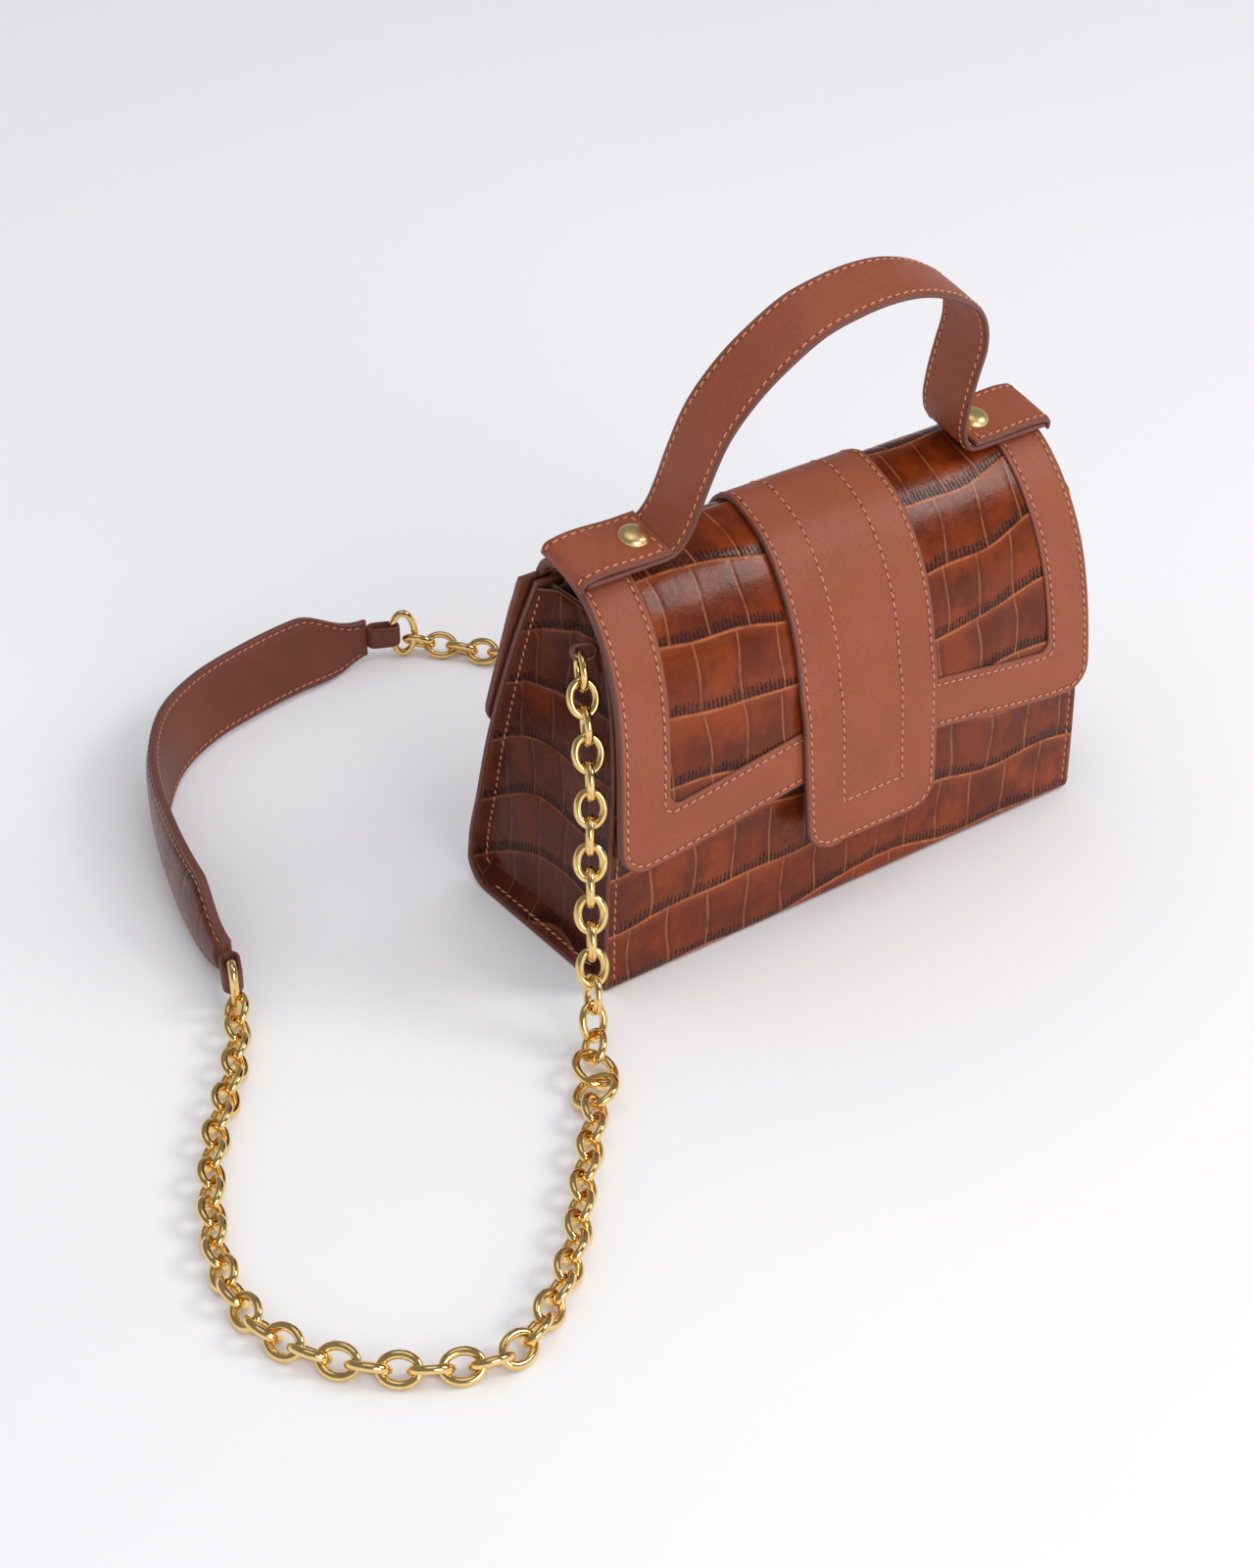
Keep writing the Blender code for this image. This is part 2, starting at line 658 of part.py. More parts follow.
def side_lining(name, side):
    """The lining inside one gusset, parallel to its main face."""
    outer = [rung(pair, side, CLEARANCE) for pair in gusset_pairs()]
    inner = [rung(pair, side, CLEARANCE + LINING_THICKNESS) for pair in gusset_pairs()]
    for row in (outer[-1], inner[-1]):
        for corner in row:
            corner.z += CLEARANCE
    slab(name, outer, inner, SUEDE)


for side_name, side in (("left", -1), ("right", 1)):
    gusset(f"gusset_{side_name}", side)
    side_lining(f"lining_side_{side_name}", side)

# Rear yoke and the filler that it is sewn through
YOKE_TOP = HINGE_S - HINGE_GAP / 2
yoke_places = tongue_places(YOKE_TOP, lambda x: 0.0, lambda s: YOKE_WIDTH / 2, YOKE_CORNER, FLAP_STEP, 3)
sheet("rear_yoke", FLAP_FACE, yoke_places, 0.0, YOKE_THICKNESS, LEATHER)


def yoke_place(z):
    """The length along the flap's face of a height on the rear yoke."""
    inside = FLAP_FACE.along <= HINGE_S
    return float(np.interp(z, FLAP_FACE.points[inside, 1], FLAP_FACE.along[inside]))


filler_heights = spaced(YOKE_FILLER_TOP - YOKE_FILLER_HEIGHT, YOKE_FILLER_TOP, PANEL_STEP)
filler_ends = (-YOKE_FILLER_WIDTH / 2, YOKE_FILLER_WIDTH / 2)
filler_depth = YOKE_THICKNESS + CLEARANCE
slab(
    "yoke_filler",
    [[FLAP_FACE.point(x, yoke_place(z), filler_depth) for x in filler_ends] for z in filler_heights],
    [[BODY_FACE.point(x, body_place(z, False), -CLEARANCE) for x in filler_ends] for z in filler_heights],
    LEATHER,
)

# Flap: croc panel, border frame, lining and centre tab
FLAP_START = HINGE_S + HINGE_GAP / 2
PANEL_DEPTH = BORDER_THICKNESS + CLEARANCE
FLAP_LINING_DEPTH = PANEL_DEPTH + PANEL_THICKNESS + CLEARANCE
FLAP_THICKNESS = FLAP_LINING_DEPTH + FLAP_LINING_THICKNESS
BACKING_TOP = -CLEARANCE - TAB_BACKING_THICKNESS
TAB_TOP = BACKING_TOP - CLEARANCE - TAB_THICKNESS

border_rows = list(zip(
    outline(FLAP_START, flap_edge, flap_half_width, FLAP_CORNER),
    outline(FLAP_START, flap_edge, flap_half_width, WINDOW_CORNER, BORDER_WIDTH),
))
sheet("flap_border", FLAP_FACE, border_rows, 0.0, BORDER_THICKNESS, LEATHER)
skin_places = tongue_places(
    FLAP_START, lambda x: flap_edge(x) - SKIN_INSET, lambda s: flap_half_width(s) - SKIN_INSET,
    FLAP_CORNER, FLAP_STEP, 7,
)
flap_panel = sheet("flap_panel", FLAP_FACE, skin_places, PANEL_DEPTH, PANEL_THICKNESS, CROC)
flap_lining = sheet("flap_lining", FLAP_FACE, skin_places, FLAP_LINING_DEPTH, FLAP_LINING_THICKNESS, SUEDE)


def tab_places(inset):
    """The centre tab's grid of (x, s), set in on three sides."""
    return tongue_places(
        HINGE_S + TAB_START, lambda x: HINGE_S + TAB_LENGTH - inset, lambda s: TAB_WIDTH / 2 - inset,
        TAB_CORNER, FLAP_STEP, 3,
    )


sheet("centre_tab", FLAP_FACE, tab_places(0.0), TAB_TOP, TAB_THICKNESS, LEATHER)
tab_backing = sheet(
    "tab_backing", FLAP_FACE, tab_places(TAB_BACKING_INSET), BACKING_TOP, TAB_BACKING_THICKNESS, LEATHER
)

# Magnetic snap: socket on the front, its washer in the board's hole, stud on the tab
snap_place = body_place(SNAP_HEIGHT, True)
snap_base = BODY_FACE.point(0.0, snap_place, -CLEARANCE)
INTO_BAG = Vector((0.0, 1.0, 0.0))
SNAP_WASHER_SHARE = 0.8
post_end = CLEARANCE + BOARD_DEPTH + BOARD_THICKNESS
turned(
    "snap_socket",
    [(SNAP_RADIUS - SNAP_RIM, -SNAP_SOCKET_THICKNESS), (SNAP_RADIUS, -SNAP_SOCKET_THICKNESS + SNAP_RIM),
     (SNAP_RADIUS, 0.0), (POST_RADIUS, 0.0), (POST_RADIUS, post_end)],
    snap_base, INTO_BAG, 20, GOLD,
)
washer_base = snap_base + INTO_BAG * (CLEARANCE + BOARD_DEPTH)
washer(
    "snap_washer", SNAP_WASHER_RADIUS, POST_HOLE_RADIUS, BOARD_THICKNESS * SNAP_WASHER_SHARE, washer_base,
    INTO_BAG, 16, STEEL,
)
drill([wrap], "snap_hole", snap_base, INTO_BAG, POST_HOLE_RADIUS, -WRAP_THICKNESS, post_end)
drill(
    [board_front], "snap_washer_hole", snap_base, INTO_BAG, SNAP_WASHER_RADIUS + CLEARANCE, 0.0,
    post_end + WRAP_THICKNESS, 16,
)
front_half = FLAP_FACE.along > HINGE_S
stud_s = float(np.interp(-SNAP_HEIGHT, -FLAP_FACE.points[front_half, 1], FLAP_FACE.along[front_half]))
stud_base = FLAP_FACE.point(0.0, stud_s, 0.0)
stud_reach = (snap_base - stud_base).y - SNAP_SOCKET_THICKNESS - CLEARANCE
turned(
    "snap_stud",
    [(POST_RADIUS, -CLEARANCE - TAB_BACKING_THICKNESS), (POST_RADIUS, SNAP_RECESS),
     (SNAP_RADIUS - SNAP_RIM, SNAP_RECESS), (SNAP_RADIUS, SNAP_RECESS + SNAP_RIM),
     (SNAP_RADIUS, stud_reach)],
    stud_base, INTO_BAG, 20, GOLD,
)
drill(
    [tab_backing], "stud_hole", stud_base, INTO_BAG, POST_HOLE_RADIUS,
    -CLEARANCE * 2 - TAB_BACKING_THICKNESS, SNAP_RECESS,
)


# Handle: strap, top tabs, rivets and washers, square to a plane that leans forward
HANDLE_ORIGIN = Vector((0.0, HANDLE_BACK, HANDLE_SEAT + CLEARANCE))
HANDLE_UP = Vector((0.0, -math.sin(HANDLE_TILT), math.cos(HANDLE_TILT)))
HANDLE_ACROSS = Vector((0.0, -math.cos(HANDLE_TILT), -math.sin(HANDLE_TILT)))
FOOT_END = FLAP_TOP_WIDTH / 2 - FOOT_SET
CREASE = FLAP_TOP_WIDTH / 2 - CREASE_SET
RIVET_PLACE = FLAP_TOP_WIDTH / 2 - RIVET_SET
HANDLE_SPREAD = CREASE - HANDLE_DRAW
TAB_FACE = HANDLE_THICKNESS + CLEARANCE + TOP_TAB_THICKNESS
DOME_SHARES = [(1.0, 0.0), (0.93, 0.4), (0.66, 0.8), (0.0, 1.0)]


def handle_point(x, height, across):
    """A place in the handle's own frame: along X, above its seat, and forward from its back edge."""
    return HANDLE_ORIGIN + Vector((x, 0.0, 0.0)) + HANDLE_UP * height + HANDLE_ACROSS * across


def ribbon(name, route, stations, thickness, spec):
    """A strap of the handle's width whose outer face follows a route in (x, height)."""
    outer, inner = [], []
    for s in stations:
        x, height = route.at(s)
        tx, th = route.tangent(s)
        outer.append([handle_point(x, height, across) for across in (0.0, HANDLE_WIDTH)])
        under = (x + th * thickness, height - tx * thickness)
        inner.append([handle_point(*under, across) for across in (0.0, HANDLE_WIDTH)])
    return slab(name, outer, inner, spec)


def handle_route():
    """The strap's outer face from the left foot over the arch to the right foot."""
    foot = [(x, HANDLE_THICKNESS) for x in (FOOT_END, CREASE + CREASE_BEND, CREASE)]
    arch = [(x * HANDLE_SPREAD, h * HANDLE_HEIGHT) for x, h in HANDLE_SHARES]
    return Route([(-x, h) for x, h in foot] + arch + foot[::-1])


def handle_stations(route):
    """Stations along the strap, closer at its two creases."""
    stations = [0.0]
    while stations[-1] < route.length:
        x, height = route.at(stations[-1])
        creased = height < HANDLE_WIDTH / 2 and abs(x) < CREASE + CREASE_BEND
        stations.append(min(route.length, stations[-1] + HANDLE_STEP / (3 if creased else 1)))
    return stations


HANDLE_ROUTE = handle_route()
strap = ribbon("handle_strap", HANDLE_ROUTE, handle_stations(HANDLE_ROUTE), HANDLE_THICKNESS, LEATHER)


def top_tab_route(side):
    """A top tab's outer face, turned down over the flap's edge, for the left or right side."""
    outside = FLAP_TOP_WIDTH / 2 + CLEARANCE + TOP_TAB_THICKNESS
    points = [(outside, TAB_FACE - TOP_TAB_DROP)]
    for k in range(4):
        turn = math.radians(30 * k)
        points.append((
            outside - TOP_TAB_TURN * (1 - math.cos(turn)), TAB_FACE - TOP_TAB_TURN * (1 - math.sin(turn))
        ))
    points += [(RIVET_PLACE, TAB_FACE), (CREASE, TAB_FACE)]
    return Route(points[::-1] if side > 0 else [(-x, h) for x, h in points])


for side_name, side in (("left", -1), ("right", 1)):
    tab_route = top_tab_route(side)
    tab_stations = spaced(0.0, tab_route.length, TOP_TAB_TURN / 2)
    top_tab = ribbon(f"handle_tab_{side_name}", tab_route, tab_stations, TOP_TAB_THICKNESS, LEATHER)
    rivet_base = handle_point(side * RIVET_PLACE, 0.0, HANDLE_WIDTH / 2)
    top_half = (FLAP_FACE.points[:, 1] > HINGE_POINT[1]) & (FLAP_FACE.along > HINGE_S)
    flap_z = np.interp(-rivet_base.y, -FLAP_FACE.points[top_half, 0], FLAP_FACE.points[top_half, 1])
    flap_drop = (rivet_base.z - float(flap_z)) * math.cos(HANDLE_TILT) + FLAP_THICKNESS
    washer_top = -flap_drop - CLEARANCE - RIVET_WASHER_SET
    post_low = washer_top - RIVET_WASHER_THICKNESS - CLEARANCE
    seat = TAB_FACE + CLEARANCE
    dome = [(r * RIVET_RADIUS, seat + h * RIVET_DOME) for r, h in DOME_SHARES]
    turned(
        f"handle_rivet_{side_name}", [(POST_RADIUS, post_low), (POST_RADIUS, seat)] + dome,
        rivet_base, HANDLE_UP, 16, GOLD,
    )
    washer(
        f"rivet_washer_{side_name}", RIVET_WASHER_RADIUS, POST_HOLE_RADIUS, RIVET_WASHER_THICKNESS,
        rivet_base + HANDLE_UP * (washer_top - RIVET_WASHER_THICKNESS), HANDLE_UP, 14, STEEL,
    )
    drill(
        [top_tab, strap, flap_panel, flap_lining], f"rivet_hole_{side_name}", rivet_base, HANDLE_UP,
        POST_HOLE_RADIUS, post_low, seat + RIVET_DOME,
    )


# Chain strap: links joined in runs, rings, and the shoulder pad with its loops
LINK_LENGTH = LINK_PITCH - LINK_WELD + 2 * WIRE
UPRIGHT = Vector((0.0, 0.0, 1.0))


class Link:
    """An oval of wire, placed by its centre, the strap's direction there and its side direction."""

    def __init__(self, length, width, wire):
        self.length, self.width, self.wire = length, width, wire
        self.reach = length / 2 - wire

    def rings(self, centre, along, side, major, minor):
        """Rings of points round the wire."""
        face = along.cross(side)
        long_half, wide_half = (self.length - self.wire) / 2, (self.width - self.wire) / 2
        rings = []
        for k in range(major):
            turn = 2 * math.pi * k / major
            c, s = math.cos(turn), math.sin(turn)
            place = centre + along * (long_half * c) + side * (wide_half * s)
            out = (along * (wide_half * c) + side * (long_half * s)).normalized()
            ring = []
            for j in range(minor):
                roll = math.pi + 2 * math.pi * j / minor
                ring.append(place + (out * math.cos(roll) + face * math.sin(roll)) * self.wire / 2)
            rings.append(ring)
        return rings


CHAIN_LINK = Link(LINK_LENGTH, LINK_WIDTH, WIRE)
JOINING_RING = Link(CONNECTOR_RING, CONNECTOR_RING, CONNECTOR_WIRE)
SIDE_RING = Link(ANCHOR_RING, ANCHOR_RING, ANCHOR_WIRE)
PAD_RING = Link(PAD_RING_LENGTH, PAD_RING_HEIGHT, CONNECTOR_WIRE)


def side_at(along, roll):
    """The side direction of a link: level across the strap, rolled about it."""
    level = along.cross(UPRIGHT).normalized()
    return (level * math.cos(roll) + level.cross(along) * -math.sin(roll)).normalized()


def add_rings(bm, rings):
    """One closed wire through its rings of points."""
    loops = [[bm.verts.new(p) for p in ring] for ring in rings]
    sides = len(loops[0])
    for first, second in zip(loops, loops[1:] + loops[:1]):
        for k in range(sides):
            bm.faces.new((first[k], first[(k + 1) % sides], second[(k + 1) % sides], second[k]))


def add_wires(name, wires, spec):
    """An object of one or more closed wires that don't touch each other."""
    bm = bmesh.new()
    for rings in wires:
        add_rings(bm, rings)
    return add_object(name, bm, spec, smooth=True)


def add_run(name, wires):
    """A run of links, every second one joined on by a Boolean union."""
    run = add_wires(name, wires[::2], GOLD)
    if len(wires) > 1:
        combine(run, hide_guide(add_wires(f"{name}_odd", wires[1::2], GOLD)), "UNION")


def wire_at(piece, route, place, roll, major, minor):
    """One link's or ring's wire at a length along a route."""
    along = Vector(route.tangent(place))
    return piece.rings(Vector(route.at(place)), along, side_at(along, roll), major, minor)


def hanging_roll(n):
    """The turn of a hanging link about the strand: square to its neighbours, eased where it lands."""
    ease = smooth_step((n / HANGING_LINKS - EASE_START_SHARE) / EASE_SPAN_SHARE)
    return (math.pi / 2 if n % 2 else 0.0) - LINK_ROLL * ease


def add_strand(name, route, start, count, run_size, roll_at):
    """Links from a first place on, in runs of run_size; returns the last link's place."""
    place, run = start, []
    for n in range(count):
        joined = n % run_size > 0
        if n:
            place += 2 * CHAIN_LINK.reach + (LINK_WELD if joined else -CLEARANCE)
        wire = wire_at(CHAIN_LINK, route, place, roll_at(n), 8, 4)
        run = run + [wire] if joined else [wire]
        if n % run_size == run_size - 1 or n == count - 1:
            add_run(f"{name}_{n // run_size + 1}", run)
    return place


def chain(side_name, points):
    """All links and rings of one strand; returns its top and its pad ring, each with its direction."""
    route = Route(points)
    place = add_strand(f"chain_{side_name}_hanging", route, 0.0, HANGING_LINKS, RUN_LINKS, hanging_roll)
    last = CHAIN_LINK
    for level, roll in (("upper", -RING_ROLL), ("lower", RING_ROLL)):
        place += last.reach + JOINING_RING.reach - CLEARANCE
        ring = wire_at(JOINING_RING, route, place, roll, 14, 6)
        add_wires(f"connector_ring_{side_name}_{level}", [ring], GOLD)
        last = JOINING_RING
    count = round((route.length - PAD_RING_LENGTH - place - last.reach) / LINK_PITCH)
    run_size = math.ceil(count / math.ceil(count / RUN_LINKS))
    place = add_strand(
        f"chain_{side_name}_floor", route, place + last.reach + CHAIN_LINK.reach - CLEARANCE, count,
        run_size, lambda n: LINK_ROLL * (1 if n % 2 else -1),
    )
    place += CHAIN_LINK.reach + PAD_RING.reach - PAD_RING_PLAY
    top = (Vector(route.at(0.0)), Vector(route.tangent(0.0)))
    return top, (Vector(route.at(place)), Vector(route.tangent(place)))


def band(name, centre, along, across, half_length, eye, thickness, width, spec):
    """A closed loop of leather round a wire: a long round-ended band of the given width."""
    outward = along.cross(across).normalized()
    rings = []
    steps = 6
    for k in range(2 * steps):
        end = 1 if k < steps else -1
        turn = math.pi * ((k % steps) / (steps - 1) - 0.5) + (0.0 if end > 0 else math.pi)
        radial = along * math.cos(turn) + outward * math.sin(turn)
        middle = centre + along * (half_length * end)
        ring = [
            middle + radial * radius + across * (width * edge)
            for radius, edge in ((eye, -0.5), (eye, 0.5), (eye + thickness, 0.5), (eye + thickness, -0.5))
        ]
        rings.append(ring)
    tube(name, rings, spec, closed=True)


def anchor(side_name, first_link, down):
    """The ring that carries a strand, in line with its first link, and its leather loop on the gusset."""
    middle = first_link - down * (CHAIN_LINK.reach + SIDE_RING.reach - CLEARANCE)
    across = side_at(down, math.pi / 2)
    add_wires(f"anchor_ring_{side_name}", [SIDE_RING.rings(middle, down, across, 14, 6)], GOLD)
    top_wire = middle - down * (ANCHOR_RING - ANCHOR_WIRE) / 2
    outwards = down.cross(across).normalized()
    if outwards.x * first_link.x < 0:
        outwards = -outwards
    centre = top_wire - outwards * LOOP_LENGTH / 2
    band(
        f"anchor_loop_{side_name}", centre, outwards, across, LOOP_LENGTH / 2, LOOP_EYE,
        LOOP_THICKNESS, LOOP_WIDTH, LEATHER,
    )


def pad_end(end_name, centre, along):
    """The ring and the leather loop at one end of the pad; returns where the pad ends."""
    centre = Vector((centre.x, centre.y, PAD_RING_HEIGHT / 2 + CLEARANCE))
    wire = PAD_RING.rings(centre, along, UPRIGHT, 14, 6)
    add_wires(f"pad_ring_{end_name}", [wire], GOLD)
    wire_place = centre + along * (PAD_RING_LENGTH - CONNECTOR_WIRE) / 2
    band(
        f"pad_loop_{end_name}", wire_place + along * PAD_LOOP_LENGTH / 2, along, UPRIGHT,
        PAD_LOOP_LENGTH / 2, PAD_LOOP_EYE, PAD_LOOP_THICKNESS, PAD_LOOP_WIDTH, LEATHER,
    )
    return wire_place + along * (PAD_LOOP_LENGTH + PAD_LOOP_EYE + PAD_LOOP_THICKNESS + PAD_SET)


def from_side(points, side):
    """A table of the route's places, its X counted from the left (-1) or right (1) side of the base."""
    return [(side * BASE_WIDTH / 2 + x, *rest) for x, *rest in points]


pad_ends = {}
left_points = from_side(LEFT_ROUTE, -1)
right_points = from_side(RIGHT_ROUTE, 1) + from_side(REAR_ROUTE, -1)
for side_name, points, end_name in (("left", left_points, "near"), ("right", right_points, "far")):
    top, (ring_centre, direction) = chain(side_name, points)
    anchor(side_name, *top)
    level = Vector((direction.x, direction.y, 0.0)).normalized()
    pad_ends[end_name] = pad_end(end_name, ring_centre, level)

near_end, far_end = pad_ends["near"], pad_ends["far"]
PAD_MIDDLE = Route([near_end.xy, *from_side(PAD_ROUTE, -1), far_end.xy])


def pad_point(s, share, depth):
    """A place on the pad: s along it, share of its width from its middle, depth inside its face."""
    x, y = PAD_MIDDLE.at(s)
    tx, ty = PAD_MIDDLE.tangent(s)
    outward = Vector((-ty, tx, 0.0))
    run = s / PAD_MIDDLE.length
    lean = PAD_LEAN_NEAR + (PAD_LEAN_FAR - PAD_LEAN_NEAR) * smooth_step(run)
    taper = smooth_step(min(s, PAD_MIDDLE.length - s) / PAD_TAPER)
    lean *= taper
    width = PAD_END_WIDTH + (PAD_WIDTH - PAD_END_WIDTH) * taper
    up = UPRIGHT * math.cos(lean) + outward * math.sin(lean)
    out = outward * math.cos(lean) - UPRIGHT * math.sin(lean)
    foot = max(PAD_THICKNESS, CLEARANCE + PAD_BACKING_THICKNESS) * abs(math.sin(lean))
    standing_z = width * math.cos(lean) / 2 + foot + PAD_LIFT
    middle_z = near_end.z + (standing_z - near_end.z) * taper
    return Vector((x, y, middle_z)) + up * (width * share) - out * depth


PAD_STATIONS = spaced(0.0, PAD_MIDDLE.length, PAD_STEP)
PAD_SHARES = (-0.5, -0.3, 0.0, 0.3, 0.5)


def pad_grid(depth_at):
    """A grid over the pad at the depth that depth_at gives for each share of the width."""
    return [[pad_point(s, share, depth_at(share)) for share in PAD_SHARES] for s in PAD_STATIONS]


slab(
    "shoulder_pad", pad_grid(lambda share: -PAD_THICKNESS - PAD_CROWN * (1 - 4 * share * share)),
    pad_grid(lambda share: 0.0), CROC,
)
slab(
    "shoulder_pad_backing", pad_grid(lambda share: CLEARANCE),
    pad_grid(lambda share: CLEARANCE + PAD_BACKING_THICKNESS), LEATHER,
)
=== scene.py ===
"""Looks of a small structured handbag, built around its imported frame. Metres, +Z up, front to -Y."""

import math

import bpy
import numpy as np
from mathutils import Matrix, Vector


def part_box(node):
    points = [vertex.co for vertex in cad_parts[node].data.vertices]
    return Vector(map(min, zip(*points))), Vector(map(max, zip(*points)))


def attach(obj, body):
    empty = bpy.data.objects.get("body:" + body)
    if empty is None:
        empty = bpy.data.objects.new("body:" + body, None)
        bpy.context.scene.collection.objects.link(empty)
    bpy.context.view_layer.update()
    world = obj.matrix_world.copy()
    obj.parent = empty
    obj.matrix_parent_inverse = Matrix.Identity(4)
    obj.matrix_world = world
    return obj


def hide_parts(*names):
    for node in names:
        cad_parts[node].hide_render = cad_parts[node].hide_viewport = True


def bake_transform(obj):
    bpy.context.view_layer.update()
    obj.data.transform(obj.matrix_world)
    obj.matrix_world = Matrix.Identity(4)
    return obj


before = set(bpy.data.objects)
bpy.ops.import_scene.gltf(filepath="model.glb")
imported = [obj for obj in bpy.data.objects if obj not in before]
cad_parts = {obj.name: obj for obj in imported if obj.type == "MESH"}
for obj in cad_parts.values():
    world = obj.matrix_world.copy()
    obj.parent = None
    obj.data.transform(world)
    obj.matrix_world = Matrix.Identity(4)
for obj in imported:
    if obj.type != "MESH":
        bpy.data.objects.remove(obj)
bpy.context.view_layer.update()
MM = 0.001
SIDES = (("left", -1), ("right", 1))

# The bag's sizes in millimetres, and its profiles in (y, z) as shares of half its depth and of a height:
# the flap's outer face from the rear yoke's lower edge over the top, then the body's front from its top
# edge down and its back from the corner up. The flap bends at a share of its own height.
HINGE_FRACTION = 0.940
FLAP_HEIGHT = 131.0
BASE_DEPTH = 75.5
BASE_WIDTH = 190.0
FLAP_FACE_SHARES = [
    (0.770, 0.458), (0.680, 0.542), (0.596, 0.611), (0.500, 0.687), (0.397, 0.771), (0.310, 0.840),
    (0.244, 0.885), (0.180, 0.930), (0.058, 0.981), (-0.106, 0.998), (-0.318, 0.979), (-0.503, 0.950),
    (-0.675, 0.902), (-0.821, 0.842), (-0.938, 0.773), (-1.023, 0.695), (-1.081, 0.603),
    (-1.118, 0.504), (-1.144, 0.397), (-1.171, 0.290), (-1.192, 0.153), (-1.197, 0.060),
]
FRONT_HEIGHT, BACK_HEIGHT = 117.5, 122.5
FRONT_FACE_SHARES = [
    (-0.543, 1.000), (-0.640, 0.957), (-0.755, 0.885), (-0.860, 0.800), (-0.940, 0.700),
    (-0.985, 0.600), (-1.000, 0.500), (-1.000, 0.250),
]
BACK_FACE_SHARES = [
    (0.975, 0.120), (0.835, 0.290), (0.668, 0.490), (0.497, 0.655), (0.290, 0.835), (0.066, 1.000),
]
FRONT_CORNER, BACK_CORNER = 3.0, 10.0
CLEARANCE, HINGE_GAP = 0.3, 0.6


class Curve:
    """A smooth curve through points, read at many lengths at once."""

    DENSE = 24

    def __init__(self, points):
        p = np.array(points, float)
        spans = np.linalg.norm(np.diff(p, axis=0), axis=1)
        slopes = np.diff(p, axis=0) / spans[:, None]
        inner = [
            (a * wb + b * wa) / (wa + wb) for a, b, wa, wb in zip(slopes, slopes[1:], spans, spans[1:])
        ]
        speeds = [slopes[0], *inner, slopes[-1]]
        dense = [p[0]]
        for n, span in enumerate(spans):
            for k in range(1, self.DENSE + 1):
                t = k / self.DENSE
                dense.append(
                    (1 + 2 * t) * (1 - t) ** 2 * p[n] + t * (1 - t) ** 2 * span * speeds[n]
                    + t * t * (3 - 2 * t) * p[n + 1] - t * t * (1 - t) * span * speeds[n + 1]
                )
        self.points = np.array(dense)
        steps = np.linalg.norm(np.diff(self.points, axis=0), axis=1)
        self.along = np.concatenate([[0.0], np.cumsum(steps)])
        self.length = self.along[-1]
        slope = np.gradient(self.points, self.along, axis=0)
        self.slopes = slope / np.linalg.norm(slope, axis=1)[:, None]

    def at(self, s):
        """Points at the lengths s; past either end they run on straight."""
        s = np.asarray(s, float)
        place = np.stack([np.interp(s, self.along, axis) for axis in self.points.T], -1)
        over = s - np.clip(s, 0.0, self.length)
        return place + over[..., None] * self.tangent(s)

    def tangent(self, s):
        """Unit directions of travel at the lengths s."""
        t = np.stack([np.interp(s, self.along, axis) for axis in self.slopes.T], -1)
        return t / np.linalg.norm(t, axis=-1)[..., None]

    def where(self, axis, value):
        """The first length at which a coordinate passes a value."""
        above = self.points[:, axis] > value
        return self.along[int(np.argmax(above != above[0]))]


class Face(Curve):
    """A curve in (y, z) that a sheet follows; its outer side is to the right of travel."""

    def surface(self, x, s):
        """Points and outward normals at x across and s along, in millimetres."""
        x, s = np.broadcast_arrays(np.asarray(x, float), np.asarray(s, float))
        place, slope = self.at(s), self.tangent(s)
        points = np.concatenate([x[..., None], place], -1)
        normals = np.stack([np.zeros_like(x), slope[..., 1], -slope[..., 0]], -1)
        return points, normals


def scaled(shares, depth, height):
    """Points from shares of a depth and of a height."""
    return [(y * depth, z * height) for y, z in shares]


def body_profile():
    """The wrap's outer face."""
    half = BASE_DEPTH / 2
    corner = [(-half, FRONT_CORNER * 2)]
    for k in range(4):
        turn = math.radians(30 * k)
        corner.append((-half + FRONT_CORNER * (1 - math.cos(turn)), FRONT_CORNER * (1 - math.sin(turn))))
    under = [(-half + FRONT_CORNER * 2, 0.0), (0.0, 0.0), (half - BACK_CORNER * 1.3, 0.0)]
    for k in range(5):
        turn = math.radians(17.5 * k)
        under.append((half - BACK_CORNER * (1 - math.sin(turn)), BACK_CORNER * (1 - math.cos(turn))))
    front = scaled(FRONT_FACE_SHARES, half, FRONT_HEIGHT)
    return Face(front + corner + under + scaled(BACK_FACE_SHARES, half, BACK_HEIGHT))


BODY = body_profile()
FLAP = Face(scaled(FLAP_FACE_SHARES, BASE_DEPTH / 2, FLAP_HEIGHT))
HINGE = FLAP.where(1, HINGE_FRACTION * FLAP_HEIGHT)
BODY_MIDDLE = BODY.where(0, 0.0)


def smooth_step(t):
    """0 to 1, eased at both ends."""
    t = np.clip(t, 0.0, 1.0)
    return t * t * (3 - 2 * t)


def body_place(z, front):
    """The length along the body's face of a height on its front or its back."""
    inside = BODY.along <= BODY_MIDDLE if front else BODY.along >= BODY_MIDDLE
    heights, lengths = BODY.points[inside, 1], BODY.along[inside]
    order = np.argsort(heights, kind="stable")
    return float(np.interp(z, heights[order], lengths[order]))


TOP_FRONT_WIDTH, TOP_BACK_WIDTH = 171.0, 182.0


def body_half_width(s):
    """Half the wrap's width: full at the base, narrower towards both top edges."""
    s = np.asarray(s, float)
    z = BODY.at(s)[..., 1]
    front = s < BODY.length / 2
    top = np.where(front, TOP_FRONT_WIDTH, TOP_BACK_WIDTH)
    rise = np.clip(z / np.where(front, FRONT_HEIGHT, BACK_HEIGHT), 0.0, 1.0)
    return (BASE_WIDTH - (BASE_WIDTH - top) * rise**2.2) / 2


